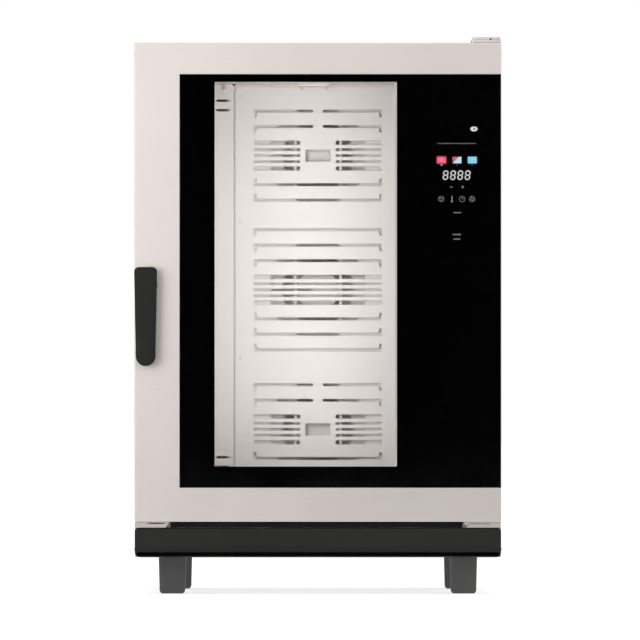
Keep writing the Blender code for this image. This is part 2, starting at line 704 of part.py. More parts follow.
def make_water():
    x, z = VALVE
    body = boxes("body", [((x - 0.018, 0.385, z - 0.020), (x + 0.018, 0.428, z + 0.020))])
    body = weld(body, rods("stub", [("Y", VALVE, 0.0135, 0.420, HALF_DEPTH, 20)]))
    body = weld(body, rods("coil", [("Z", (x, 0.405), 0.016, z + 0.015, z + 0.048, 16)]))
    bore = rods("bore", [("Y", VALVE, 0.0095, 0.443, HALF_DEPTH + 0.01, 16)])
    smooth(part("water_valve", cut(body, bore), BRASS))

    fan_z = FAN_HEIGHTS["middle"]
    start_z = z + 0.048 + GAP
    eye_y = 0.1525
    route = [(x, 0.405, start_z), (x, 0.405, fan_z), (PIPE_X, 0.405, fan_z), (PIPE_X, eye_y, fan_z),
             (-0.016, eye_y, fan_z)]
    smooth(part("water_injection_pipe", tube("pipe", rounded_route(route, 0.020), PIPE_RADIUS), LINING))


def make_electrics():
    gland = turned("gland", [(0.007, HALF_DEPTH), (0.012, HALF_DEPTH), (0.017, HALF_DEPTH - 0.004),
                             (0.017, CABINET_BACK + GAP), (0.012, CABINET_BACK + GAP), (0.012, 0.430),
                             (0.007, 0.430), (0.007, HALF_DEPTH)], "Y", GLAND, 20)
    smooth(part("cable_gland", gland, BLACK_PLASTIC))

    board = boxes("board", [((0.120, 0.2900, 0.380), (0.330, 0.2920, 0.760))])
    blocks = []
    for row in range(4):
        for column in range(3):
            x, z = 0.135 + column * 0.064, 0.400 + row * 0.092
            blocks.append(((x, 0.2915, z), (x + 0.040, 0.305 + 0.008 * ((row + column) % 3), z + 0.055)))
    part("power_board", weld(board, boxes("blocks", blocks)), BOARD)
    body = boxes("contactor", [((0.120, 0.2900, 0.800), (0.200, 0.345, 0.880))])
    rib = boxes("rib", [((0.130, 0.340, 0.820), (0.190, 0.360, 0.860))])
    part("contactor", weld(body, rib), BLACK_PLASTIC)


def make_cooler():
    """The small fan that blows air out of the electrics' space."""
    x, z = COOLER
    y1 = CABINET_BACK - BACK_PLATE - GAP
    y0 = y1 - 0.025
    half = COOLER_HALF
    frame = plate("frame", [rounded((x - half, z - half), (x + half, z + half), 0.004, 1),
                            circle(x, z, 0.0378, 28)], y0, y1)
    hub = rods("hub", [("Y", COOLER, 0.017, y0 + 0.0002, y0 + 0.003, 20)])
    spoke = boxes("spoke", [((x - 0.039, y0 + 0.0004, z - 0.002), (x + 0.039, y0 + 0.0028, z + 0.002))])
    part("cooling_fan_frame", weld(weld(frame, hub), spoke), BLACK_PLASTIC)

    axis = axis_empty("cooling_axis", (x, (y0 + y1) / 2, z))
    rotor = rods("rotor", [("Y", COOLER, 0.016, y0 + 0.0035, y1 - 0.003, 20)])
    bm = bmesh.new()
    for i in range(7):
        turn = (Matrix.Translation((x, (y0 + y1) / 2, z)) @ Matrix.Rotation(tau * i / 7, 4, "Y")
                @ Matrix.Rotation(radians(38), 4, "X"))
        add_box(bm, (0.014, -0.0008, -0.009), (0.0355, 0.0008, 0.009), turn)
    part("cooling_fan_rotor", weld(rotor, to_mesh(bm, "vanes")), BLACK_PLASTIC, axis)


def make_cavity_fittings():
    """The ceiling's wash nozzle and the temperature probe beside the baffle."""
    bar = boxes("bar", [((-0.042, 0.098, CAVITY_TOP - 0.006), (0.023, 0.112, CAVITY_TOP - GAP))])
    tips = rods("tips", [("Z", (x, 0.105), 0.004, CAVITY_TOP - 0.013, CAVITY_TOP - 0.004, 10)
                         for x in (-0.034, 0.016)])
    part("wash_nozzle", weld(bar, tips), LINING)
    x, y, low = -0.198, 0.122, CAVITY_TOP - 0.018
    route = rounded_route([(x, y, CAVITY_TOP - GAP), (x, y, low), (x, 0.060, low)], 0.008, 3)
    smooth(part("cavity_probe", tube("probe", route, 0.003), LINING))


# ---------------------------------------------------------------- door
def make_door_shell(axis):
    low = (-HALF_WIDTH, DOOR_FRONT, DOOR_BOTTOM)
    high = (HALF_WIDTH, DOOR_SHELL_BACK, CABINET_TOP)
    skin = shell("door_frame", low, high, (0, 1, 0), SHEET, 0.002)
    notch = boxes("notch", [((GLASS_LEFT, DOOR_FRONT - 0.01, GLASS_BOTTOM),
                             (HALF_WIDTH + 0.01, DOOR_FRONT + GLASS_THICK + 0.0005, GLASS_TOP))])
    skin = cut(skin, notch)
    holes = [("Z", (HINGE_X, HINGE_Y), 0.008, DOOR_BOTTOM - 0.01, DOOR_BOTTOM + 0.01, 20),
             ("Z", (HINGE_X, HINGE_Y), 0.008, CABINET_TOP - 0.01, CABINET_TOP + 0.01, 20),
             ("Y", (HANDLE_X, HANDLE_Z), 0.0085, DOOR_FRONT - 0.01, DOOR_FRONT + 0.01, 20)]
    part("door_frame", cut(skin, rods("holes", holes)), STEEL, axis)

    inner = shell("door_inner_liner", (-HALF_WIDTH + 0.0035, DOOR_SHELL_BACK + GAP, DOOR_BOTTOM + 0.0035),
                  (HALF_WIDTH - 0.0035, DOOR_BACK, CABINET_TOP - 0.0035), (0, -1, 0), 0.0012)
    window = boxes("window", [((-0.250, -0.350, 0.240), (0.190, -0.330, 1.066))])
    hole = rods("hole", [("Y", (HANDLE_X, HANDLE_Z), 0.0085, -0.350, -0.330, 20)])
    part("door_inner_liner", cut(cut(inner, window), hole), STEEL, axis)

    for name, low_z, high_z in (("hinge_block_lower", DOOR_BOTTOM + SHEET + GAP, 0.173),
                                ("hinge_block_upper", 1.1195, CABINET_TOP - SHEET - GAP)):
        block = boxes("block", [((0.352, -0.3855, low_z), (0.3782, -0.3585, high_z))])
        bore = rods("bore", [("Z", (HINGE_X, HINGE_Y), 0.0075, low_z - 0.01, high_z + 0.01, 20)])
        part(name, cut(block, bore), ZINC, axis)


def make_door_glazing(axis):
    front = DOOR_FRONT
    pane = boxes("pane", [((GLASS_LEFT + GAP, front, GLASS_BOTTOM + GAP),
                           (HALF_WIDTH - GAP, front + GLASS_THICK, GLASS_TOP - GAP))])
    part("door_outer_glass", bevelled(pane, 0.0008, 1), CLEAR, axis)
    y = front + GLASS_THICK + GAP
    mask = [rectangle((GLASS_LEFT + 0.001, GLASS_BOTTOM + 0.001), (HALF_WIDTH - 0.0018, GLASS_TOP - 0.001)),
            rounded(WINDOW_LOW, WINDOW_HIGH, 0.002, 2)]
    part("glass_print", plate("glass_print", mask, y, y + 0.0004), PRINT, axis)
    inner = boxes("pane", [((-0.262, -0.3435, 0.228), (0.202, -0.3385, 1.078))])
    part("door_inner_glass", inner, CLEAR, axis)
    lamp = boxes("lamp", [((0.1592, -0.3878, 0.262), (0.1720, -0.3440, 1.064))])
    part("door_light", lamp, LAMP, axis)


def make_controls(axis):
    low, high = (0.196, -0.3880, 0.690), (0.372, -0.3520, 1.070)
    part("control_housing", shell("housing", low, high, (0, -1, 0), 0.002), BLACK_PLASTIC, axis)
    board = boxes("board", [((0.205, -0.3780, 0.720), (0.363, -0.3764, 1.050))])
    keys = [((x - 0.010, -0.3860, 0.889), (x + 0.010, -0.3775, 0.909)) for x in (0.2560, 0.2875, 0.3190)]
    keys += [((x - 0.006, -0.3860, 0.812), (x + 0.006, -0.3775, 0.824))
             for x in (0.256, 0.278, 0.299, 0.321)]
    display = ((0.2550, -0.3868, 0.851), (0.3220, -0.3775, 0.884))
    part("control_board", weld(board, boxes("parts", [*keys, display])), BOARD, axis)


def handle_outline():
    """The grip's outline: a wide head with round corners, tapering to a half-round end."""
    head = 0.009
    half_top = HANDLE_TOP_WIDTH / 2
    half_low = HANDLE_LOW_WIDTH / 2
    points = []
    for side in (1, -1):
        for step in range(4):
            angle = step * pi / 6 + (0 if side > 0 else pi / 2)
            x = HANDLE_X + side * (half_top - head) + head * cos(angle)
            points.append((x, HANDLE_HIGH - head + head * sin(angle)))
    for step in range(9):
        angle = pi + step * pi / 8
        points.append((HANDLE_X + half_low * cos(angle), HANDLE_LOW + half_low + half_low * sin(angle)))
    return points


def make_handle(axis):
    grip = plate("grip", [handle_outline()], -HALF_DEPTH, HANDLE_BACK)
    grip = bevelled(grip, 0.004, 2, 60)
    neck = rods("neck", [("Y", (HANDLE_X, HANDLE_Z), 0.016, HANDLE_BACK - 0.008, DOOR_FRONT - 0.0015, 24)])
    smooth(part("door_handle", weld(grip, neck), BLACK_PLASTIC, axis))

    start, end = DOOR_FRONT - 0.0012, CAM_BACK - 0.001
    spindle = rods("spindle", [("Y", (HANDLE_X, HANDLE_Z), 0.007, start, end, 16)])
    cam = boxes("cam", [((HANDLE_X - 0.005, CAM_BACK - 0.008, HANDLE_Z - 0.012),
                         (HANDLE_X + 0.005, CAM_BACK, HANDLE_Z + 0.012))])
    part("latch_spindle", weld(spindle, cam), ZINC, axis)


# ---------------------------------------------------------------- brackets, bar and feet
def lower_bracket_outline(outer, inner_high, inner_low):
    """A flat bar whose inner end is cut at a slant, wider at the top."""
    points = [(inner_low, BRACKET_LOW), (outer, BRACKET_LOW), (outer, BRACKET_HIGH),
              (inner_high, BRACKET_HIGH)]
    return points if outer > 0 else points[::-1]


def make_brackets():
    upper = boxes("lower_plate", [((0.318, -0.392, CABINET_TOP + GAP), (0.3797, -0.285, 1.1492))])
    upper = weld(upper, boxes("upper_plate", [((0.322, -0.390, 1.1488), (0.3785, -0.300, OVERALL_TOP))]))
    pin = rods("pin", [("Z", (HINGE_X, HINGE_Y), PIN_RADIUS, 1.1200, CABINET_TOP + 0.002, 20)])
    part("upper_hinge_bracket", weld(upper, pin), STEEL)

    lower = plate("plate", [lower_bracket_outline(0.378, 0.301, 0.309)], -0.392, CABINET_FRONT - GAP)
    pin = rods("pin", [("Z", (HINGE_X, HINGE_Y), PIN_RADIUS, BRACKET_HIGH - 0.002, 0.1725, 20)])
    part("lower_hinge_bracket", weld(lower, pin), STEEL)

    rest = plate("rest", [lower_bracket_outline(-0.3797, -0.306, -0.314)], -0.392, CABINET_FRONT - GAP)
    part("door_rest", bevelled(rest, 0.002, 1), STEEL)


def make_drip_tray():
    """The black bar under the door: a gutter that catches the door's drips and pulls forward."""
    axis = axis_empty("drip_tray_axis", (0.0, -0.364, BASE_Z))
    low = (-HALF_WIDTH + 0.0005, -0.3935, BASE_Z)
    high = (HALF_WIDTH - 0.0005, CABINET_FRONT - 0.0005, BAR_TOP)
    gutter = shell("drip_tray", low, high, (0, 0, 1), 0.003, 0.004)
    tongues = [((x - 0.0145, CABINET_FRONT - 0.003, 0.0840), (x + 0.0145, -0.255, 0.0870))
               for x in (-0.25, 0.25)]
    part("drip_tray", weld(gutter, boxes("tongues", tongues)), BLACK_PLASTIC, axis)


def make_feet():
    for name, (x, y) in FOOT_PLACES.items():
        axis = axis_empty(f"{name}_axis", (x, y, 0.0))
        outline = rounded((x - FOOT_HALF, y - FOOT_HALF), (x + FOOT_HALF, y + FOOT_HALF), 0.008)
        block = plate(name, [outline], 0.0, BASE_Z - GAP, Matrix())
        block = bevelled(block, 0.003, 1, 60)
        stem = rods("stem", [("Z", (x, y), 0.006, BASE_Z - 0.010, BASE_Z + 0.024, 12)])
        part(name, weld(block, stem), FOOT_PLASTIC, axis)


def make_oven():
    make_base()
    make_front_frame()
    make_cavity()
    make_side_panels()
    make_top_and_back()
    make_baffle()
    make_inlet_plate()
    make_heaters()
    make_fans()
    make_racks()
    make_drain()
    make_flue()
    make_water()
    make_electrics()
    make_cooler()
    make_cavity_fittings()
    make_brackets()
    make_drip_tray()
    make_feet()
    door = axis_empty("door_axis", (HINGE_X, HINGE_Y, 0.650))
    make_door_shell(door)
    make_door_glazing(door)
    make_controls(door)
    make_handle(axis_empty("handle_axis", (HANDLE_X, DOOR_FRONT, HANDLE_Z)))


make_oven()
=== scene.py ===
"""Looks of the combi steamer oven: fine meshes, procedural finishes, stage, lights and camera.

Metres, +Z up, the door faces -Y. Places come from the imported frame's boxes.
"""
import json
from math import cos, exp, pi, radians, sin, sqrt, tau

import bmesh
import bpy
from mathutils import Matrix, Vector

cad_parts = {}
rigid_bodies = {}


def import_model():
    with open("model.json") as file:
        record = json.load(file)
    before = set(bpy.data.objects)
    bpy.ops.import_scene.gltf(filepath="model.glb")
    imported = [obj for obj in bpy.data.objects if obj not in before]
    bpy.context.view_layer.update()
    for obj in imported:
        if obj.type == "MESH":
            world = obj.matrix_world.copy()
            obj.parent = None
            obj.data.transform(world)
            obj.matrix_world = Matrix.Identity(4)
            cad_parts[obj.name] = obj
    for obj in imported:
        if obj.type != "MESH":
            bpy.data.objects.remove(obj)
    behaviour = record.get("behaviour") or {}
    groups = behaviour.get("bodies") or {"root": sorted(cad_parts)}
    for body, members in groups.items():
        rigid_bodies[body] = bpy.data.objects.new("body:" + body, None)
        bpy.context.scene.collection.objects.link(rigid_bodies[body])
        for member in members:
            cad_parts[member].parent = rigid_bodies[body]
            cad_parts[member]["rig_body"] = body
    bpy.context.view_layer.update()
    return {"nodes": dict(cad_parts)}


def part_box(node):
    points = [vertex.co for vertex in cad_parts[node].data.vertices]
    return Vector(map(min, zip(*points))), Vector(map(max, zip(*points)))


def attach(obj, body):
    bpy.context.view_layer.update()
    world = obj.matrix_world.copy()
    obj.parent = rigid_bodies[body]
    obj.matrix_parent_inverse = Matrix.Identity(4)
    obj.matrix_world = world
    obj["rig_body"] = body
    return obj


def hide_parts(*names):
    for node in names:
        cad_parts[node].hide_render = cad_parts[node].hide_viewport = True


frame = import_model()
NODES = frame["nodes"]

# ---------------------------------------------------------------- driving places, read from the frame
HAIR = 0.0003                                    # gap between touching pieces
DOOR_LOW, DOOR_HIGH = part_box("door_frame")
GLASS_LOW, GLASS_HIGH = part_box("door_outer_glass")
CAVITY_LOW, CAVITY_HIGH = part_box("cavity_liner")
FRAME_LOW, FRAME_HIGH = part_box("front_frame")
BAR_LOW, BAR_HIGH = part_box("drip_tray")
TOP_LOW, TOP_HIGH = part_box("top_panel")
BACK_LOW, BACK_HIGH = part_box("back_panel")
BAFFLE_LOW, BAFFLE_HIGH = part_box("air_baffle")
DOOR_FRONT = DOOR_LOW.y
FEET_TOP = 0.0757                                # just under the base tray
DRAIN_X, DRAIN_Z, DRAIN_RADIUS = 0.0, 0.108, 0.020
FANS = {place: (lambda box: (box[0] + box[1]) / 2)(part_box(f"fan_wheel_{place}"))
        for place in ("top", "middle", "bottom")}

FRONT_VIEW = Matrix.Rotation(pi / 2, 4, "X")     # a flat outline (x, z) stands up, facing -Y
PLAN_VIEW = Matrix()
SIDE_VIEW = Matrix(((0, 0, 1, 0), (1, 0, 0, 0), (0, 1, 0, 0), (0, 0, 0, 1)))   # (y, z), facing X


# ---------------------------------------------------------------- finishes
class Finish:
    """A Principled material whose tone, roughness and relief vary over the surface."""

    def __init__(self, name, colour, roughness, metallic=0.0):
        self.mat = bpy.data.materials.new(name)
        self.mat.use_nodes = True
        self.nodes = self.mat.node_tree.nodes
        self.links = self.mat.node_tree.links
        self.shader = self.nodes["Principled BSDF"]
        self.colour = colour
        self.set("Base Color", (*colour, 1.0))
        self.set("Roughness", roughness)
        self.set("Metallic", metallic)
        self.roughness = roughness
        self.place = self.nodes.new("ShaderNodeTexCoord").outputs["Object"]
        self.relief = None

    def set(self, socket, value):
        self.shader.inputs[socket].default_value = value
        return self

    def noise(self, scale, stretch=(1, 1, 1), detail=3.0, rough=0.5):
        mapping = self.nodes.new("ShaderNodeMapping")
        mapping.inputs["Scale"].default_value = stretch
        self.links.new(self.place, mapping.inputs["Vector"])
        node = self.nodes.new("ShaderNodeTexNoise")
        node.inputs["Scale"].default_value = scale
        node.inputs["Detail"].default_value = detail
        node.inputs["Roughness"].default_value = rough
        self.links.new(mapping.outputs["Vector"], node.inputs["Vector"])
        return node.outputs["Fac"]

    def span(self, factor, low, high, start=0.3, end=0.7):
        node = self.nodes.new("ShaderNodeMapRange")
        for socket, value in (("From Min", start), ("From Max", end), ("To Min", low), ("To Max", high)):
            node.inputs[socket].default_value = value
        self.links.new(factor, node.inputs["Value"])
        return node.outputs["Result"]

    def tone(self, factor, other, amount=1.0, start=0.3, end=0.7):
        """The colour drifts towards another one where the factor is high."""
        mix = self.nodes.new("ShaderNodeMix")
        mix.data_type = "RGBA"
        mix.inputs["B"].default_value = (*other, 1.0)
        source = self.shader.inputs["Base Color"]
        if source.is_linked:
            self.links.new(source.links[0].from_socket, mix.inputs["A"])
        else:
            mix.inputs["A"].default_value = (*self.colour, 1.0)
        self.links.new(self.span(factor, 0.0, amount, start, end), mix.inputs["Factor"])
        self.links.new(mix.outputs["Result"], source)
        return self

    def polish(self, factor, swing):
        low, high = self.roughness - swing, self.roughness + swing
        self.links.new(self.span(factor, low, high), self.shader.inputs["Roughness"])
        return self

    def bump(self, factor, depth, strength=1.0):
        node = self.nodes.new("ShaderNodeBump")
        node.inputs["Distance"].default_value = depth
        node.inputs["Strength"].default_value = strength
        self.links.new(factor, node.inputs["Height"])
        if self.relief is not None:
            self.links.new(self.relief, node.inputs["Normal"])
        self.relief = node.outputs["Normal"]
        self.links.new(self.relief, self.shader.inputs["Normal"])
        return self


def brushed(name, colour, roughness, stretch, metallic=1.0, tint=(0.93, 0.91, 0.90)):
    """Brushed sheet: fine lines along one direction, soft clouds and a few faint wipe marks."""
    look = Finish(name, colour, roughness, metallic)
    lines = look.noise(1.0, stretch, 4.0, 0.65)
    clouds = look.noise(3.2, detail=2.0)
    wipes = look.noise(11.0, (1.0, 1.0, 0.35), 5.0, 0.6)
    look.tone(clouds, tuple(c * t for c, t in zip(colour, tint)), 0.35)
    look.tone(lines, tuple(c * 0.88 for c in colour), 0.30)
    look.polish(wipes, 0.018)
    look.bump(lines, 0.00002, 0.35)
    look.set("Anisotropic", 0.35)
    return look.mat


def moulded(name, colour, roughness, grain=0.00006, scale=900.0, lift=1.5, gloss=0.5):
    """Moulded plastic: a fine spark-eroded grain, a slight bloom and rubbed patches."""
    look = Finish(name, colour, roughness)
    look.set("Specular IOR Level", gloss)
    look.tone(look.noise(5.0, detail=3.0), tuple(min(1.0, c * lift) for c in colour), 0.6)
    look.polish(look.noise(14.0, detail=4.0), 0.07)
    look.bump(look.noise(scale, detail=2.0), grain, 0.5)
    return look.mat


def gutter_plastic():
    """Black plastic, darkened towards its underside by painted shade."""
    look = Finish("bar_plastic", (0.0105, 0.0110, 0.0105), 0.50)
    look.set("Specular IOR Level", 0.20)
    look.tone(look.noise(5.0, detail=3.0), (0.015, 0.0155, 0.015), 0.6)
    split = look.nodes.new("ShaderNodeSeparateXYZ")
    look.links.new(look.place, split.inputs["Vector"])
    # painted shade: the colour falls to near black over the lowest 26 mm of the bar, for the shade under it
    look.tone(split.outputs["Z"], (0.0006, 0.0006, 0.0006), 0.95, BAR_LOW.z + 0.026, BAR_LOW.z + 0.004)
    look.polish(look.noise(14.0, detail=4.0), 0.07)
    look.bump(look.noise(900.0, detail=2.0), 0.00006, 0.5)
    return look.mat


def lit(name, colour, strength, body=(0.02, 0.02, 0.02)):
    """A printed mark with a lamp behind it."""
    look = Finish(name, body, 0.4)
    look.tone(look.noise(160.0), tuple(c * 0.6 for c in colour), 0.4)
    look.set("Emission Color", (*colour, 1.0))
    look.set("Emission Strength", strength)
    return look.mat


def clear_glass(name, tint):
    """Float glass that lets lamps through to what is behind it."""
    look = Finish(name, tint, 0.015)
    look.set("Transmission Weight", 1.0)
    look.set("IOR", 1.30)
    look.links.new(look.span(look.noise(7.0, detail=5.0), 0.006, 0.035), look.shader.inputs["Roughness"])
    through = look.nodes.new("ShaderNodeBsdfTransparent")
    through.inputs["Color"].default_value = (0.97, 0.98, 0.975, 1.0)
    path = look.nodes.new("ShaderNodeLightPath")
    mix = look.nodes.new("ShaderNodeMixShader")
    output = look.nodes["Material Output"]
    look.links.new(path.outputs["Is Shadow Ray"], mix.inputs["Fac"])
    look.links.new(look.shader.outputs["BSDF"], mix.inputs[1])
    look.links.new(through.outputs["BSDF"], mix.inputs[2])
    look.links.new(mix.outputs["Shader"], output.inputs["Surface"])
    return look.mat


def wool():
    look = Finish("mineral_wool", (0.55, 0.50, 0.34), 0.95)
    fibres = look.noise(240.0, (1.0, 1.0, 3.0), 6.0, 0.7)
    look.tone(fibres, (0.40, 0.35, 0.22), 0.8).bump(fibres, 0.0012, 0.8)
    return look.mat


def circuit():
    look = Finish("circuit_board", (0.015, 0.085, 0.040), 0.42)
    tracks = look.nodes.new("ShaderNodeTexBrick")
    tracks.inputs["Scale"].default_value = 60.0
    tracks.inputs["Mortar Size"].default_value = 0.03
    look.links.new(look.place, tracks.inputs["Vector"])
    look.tone(tracks.outputs["Fac"], (0.04, 0.20, 0.09), 0.8, 0.0, 1.0)
    look.polish(look.noise(60.0), 0.08)
    return look.mat


def enamel():
    look = Finish("black_enamel", (0.0004, 0.0004, 0.0005), 0.05)
    look.set("Specular IOR Level", 0.09)
    look.tone(look.noise(2.5), (0.0008, 0.0008, 0.0009), 0.6)
    look.polish(look.noise(9.0, detail=5.0), 0.02)
    return look.mat


def heat_stained(name, colour, roughness, stain):
    look = Finish(name, colour, roughness, 1.0)
    look.tone(look.noise(18.0, detail=4.0), stain, 0.8)
    look.polish(look.noise(45.0), 0.09).bump(look.noise(420.0), 0.00008, 0.5)
    return look.mat


MAT_GLOW = 0.36
LINES_X = (7.0, 900.0, 900.0)
LINES_Y = (900.0, 7.0, 900.0)
LINES_Z = (900.0, 900.0, 7.0)
STEEL = (0.806, 0.749, 0.722)
SHADED_STEEL = (0.640, 0.612, 0.596)
LINING = (0.838, 0.795, 0.778)

LOOKS = {
    "front_steel": brushed("front_steel", STEEL, 0.36, LINES_X),
    "side_steel": brushed("side_steel", SHADED_STEEL, 0.34, LINES_Z),
    "top_steel": brushed("top_steel", SHADED_STEEL, 0.36, LINES_X),
    "lining": brushed("lining", LINING, 0.40, LINES_Z, 0.72),
    "rail": brushed("rail", LINING, 0.30, LINES_Y),
    "zinc": heat_stained("zinc", (0.60, 0.61, 0.62), 0.42, (0.48, 0.49, 0.52)),
    "black_plastic": moulded("black_plastic", (0.0095, 0.0100, 0.0095), 0.46, gloss=0.20),
    "bar_plastic": gutter_plastic(),
    "foot_plastic": moulded("foot_plastic", (0.056, 0.056, 0.056), 0.55, 0.0001, 700.0, gloss=0.3),
    "rubber": moulded("rubber", (0.022, 0.021, 0.020), 0.66, 0.0001, 500.0),
    "wool": wool(),
    "glass": clear_glass("glass", (0.990, 0.994, 0.992)),
    "enamel": enamel(),
    "board": circuit(),
    "lamp": lit("lamp", (1.0, 0.96, 0.94), 0.16, (0.34, 0.33, 0.32)),
    "heater": heat_stained("heater", (0.30, 0.29, 0.27), 0.40, (0.20, 0.16, 0.13)),
    "wheel": brushed("wheel", (0.76, 0.73, 0.72), 0.50, LINES_X, 0.30),
    "motor": heat_stained("motor", (0.34, 0.35, 0.36), 0.48, (0.26, 0.27, 0.28)),
    "brass": heat_stained("brass", (0.72, 0.53, 0.25), 0.32, (0.60, 0.42, 0.18)),
    "bolt": heat_stained("bolt", (0.66, 0.65, 0.64), 0.26, (0.52, 0.51, 0.50)),
    "plate_blank": brushed("plate_blank", (0.72, 0.73, 0.74), 0.42, LINES_X),
    "white_mark": lit("white_mark", (0.86, 0.88, 0.87), 0.66),
    "pale_mark": lit("pale_mark", (0.95, 0.75, 0.80), 0.60),
    "grey_mark": lit("grey_mark", (0.42, 0.43, 0.43), 0.42),
    "dim_mark": lit("dim_mark", (0.20, 0.20, 0.19), 0.42),
    "faint_mark": lit("faint_mark", (0.30, 0.30, 0.29), 0.42),
    "red_key": lit("red_key", (0.84, 0.042, 0.130), 1.0),
    "magenta_key": lit("magenta_key", (0.52, 0.045, 0.170), 1.0),
    "blue_key": lit("blue_key", (0.45, 0.72, 0.80), 0.90),
    "cyan_key": lit("cyan_key", (0.13, 0.56, 0.72), 1.0),
    "red_halo": lit("red_halo", (0.110, 0.002, 0.012), 0.7, (0.002, 0.0, 0.0)),
    "blue_halo": lit("blue_halo", (0.004, 0.030, 0.050), 0.7, (0.0, 0.0, 0.001)),
    # Darker steel for the door brackets: painted shade for the shadow under the door
    "shaded_bracket_steel": brushed("shaded_bracket_steel", (0.60, 0.560, 0.541), 0.42, LINES_X),
    # Flat dark marks in painted shade, standing in for the shade inside holes and slots
    "painted_shade_marks": moulded("painted_shade_marks", (0.010, 0.009, 0.009), 0.60),
}


# ---------------------------------------------------------------- mesh tools
def link(name, data):
    obj = bpy.data.objects.new(name, data)
    bpy.context.scene.collection.objects.link(obj)
    return obj


def piece(name, mesh, body, look, replaces=(), angle=35):
    """A finished piece of the object, which rides on a body."""
    obj = link(name, mesh)
    obj.data.materials.clear()
    obj.data.materials.append(LOOKS[look])
    obj.data.shade_smooth()
    obj.data.set_sharp_from_angle(angle=radians(angle))
    flatten_shading(obj)
    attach(obj, body)
    if replaces:
        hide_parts(*replaces)
    return obj


def flatten_shading(obj):
    """Large faces keep their own normals, so that only the eased edges catch the light."""
    modifier = obj.modifiers.new("face_normals", "WEIGHTED_NORMAL")
    modifier.mode = "FACE_AREA"
    modifier.weight = 100
    modifier.keep_sharp = True


def body_of(node):
    return NODES[node]["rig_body"]


def to_mesh(bm, recalc=True):
    if recalc:
        bmesh.ops.recalc_face_normals(bm, faces=bm.faces)
    mesh = bpy.data.meshes.new("work")
    bm.to_mesh(mesh)
    bm.free()
    return mesh


def modified(mesh, *settings):
    """The mesh after a stack of modifiers, each given as its type and its properties."""
    obj = link("work", mesh)
    for kind, values in settings:
        modifier = obj.modifiers.new(kind, kind)
        for key, value in values.items():
            setattr(modifier, key, value)
    result = bpy.data.meshes.new_from_object(obj.evaluated_get(bpy.context.evaluated_depsgraph_get()))
    bpy.data.objects.remove(obj)
    return result


def soften(mesh, width, segments=2, angle=40):
    return modified(mesh, ("BEVEL", {"width": width, "segments": segments, "limit_method": "ANGLE",
                                     "angle_limit": radians(angle), "use_clamp_overlap": True}))


def combine(mesh, tool, operation="DIFFERENCE"):
    other = link("tool", tool)
    result = modified(mesh, ("BOOLEAN", {"object": other, "operation": operation, "solver": "EXACT"}))
    bpy.data.objects.remove(other)
    return result


def joined(*meshes):
    """Several closed meshes as one, side by side."""
    bm = bmesh.new()
    for mesh in meshes:
        bm.from_mesh(mesh)
    return to_mesh(bm, False)


def add_box(bm, low, high, matrix=None):
    verts = bmesh.ops.create_cube(bm, size=1.0)["verts"]
    for vert in verts:
        vert.co = [a + (c + 0.5) * (b - a) for a, b, c in zip(low, high, vert.co)]
    if matrix is not None:
        bmesh.ops.transform(bm, matrix=matrix, verts=verts)


def blocks(corners, round_edges=0.0, segments=2):
    """Blocks with soft edges, from pairs of corners."""
    bm = bmesh.new()
    for low, high in corners:
        add_box(bm, low, high)
    mesh = to_mesh(bm)
    return soften(mesh, round_edges, segments) if round_edges else mesh


def loft(rings, caps=True):
    """A skin over rings that have the same number of points, with flat ends."""
    bm = bmesh.new()
    loops = [[bm.verts.new(p) for p in ring] for ring in rings]
    count = len(loops[0])
    for a, b in zip(loops, loops[1:]):
        for i in range(count):
            bm.faces.new((a[i], a[(i + 1) % count], b[(i + 1) % count], b[i]))
    if caps:
        bm.faces.new(loops[0][::-1])
        bm.faces.new(loops[-1])
    return to_mesh(bm)


def turned(profile, axis, centre, sides=48, start=0.0):
    """Closed profile of (radius, place along the axis), turned about an axis along X, Y or Z."""
    bm = bmesh.new()
    frame_of = {"X": lambda r, a, h: (h, centre[0] + r * cos(a), centre[1] + r * sin(a)),
                "Y": lambda r, a, h: (centre[0] + r * cos(a), h, centre[1] + r * sin(a)),
                "Z": lambda r, a, h: (centre[0] + r * cos(a), centre[1] + r * sin(a), h)}[axis]
    rings = []
    for radius, height in profile:
        if radius == 0.0:
            rings.append([bm.verts.new(frame_of(0.0, 0.0, height))])
        else:
            rings.append([bm.verts.new(frame_of(radius, start + tau * i / sides, height))
                          for i in range(sides)])
    closed = zip(rings, rings[1:] if profile[0][0] == 0.0 else rings[1:] + rings[:1])
    for a, b in closed:
        for i in range(sides):
            j = (i + 1) % sides
            if len(a) == 1 and len(b) > 1:
                bm.faces.new((a[0], b[j], b[i]))
            elif len(b) == 1 and len(a) > 1:
                bm.faces.new((a[i], a[j], b[0]))
            elif len(a) > 1:
                bm.faces.new((a[i], a[j], b[j], b[i]))
    return to_mesh(bm)


def circle(x, y, radius, sides=32, start=0.0):
    return [(x + radius * cos(start + tau * i / sides), y + radius * sin(start + tau * i / sides))
            for i in range(sides)]


def rectangle(low, high):
    return [(low[0], low[1]), (high[0], low[1]), (high[0], high[1]), (low[0], high[1])]


def round_corners(points, radius, steps=4):
    """The outline with every corner replaced by a short curve."""
    result = []
    count = len(points)
    for i, corner in enumerate(points):
        corner = Vector(corner)
        before = Vector(points[i - 1]) - corner
        after = Vector(points[(i + 1) % count]) - corner
        reach = min(radius, before.length * 0.49, after.length * 0.49)
        a = corner + before.normalized() * reach
        b = corner + after.normalized() * reach
        for step in range(steps + 1):
            t = step / steps
            result.append(tuple(a * (1 - t) ** 2 + corner * 2 * t * (1 - t) + b * t ** 2))
    return result


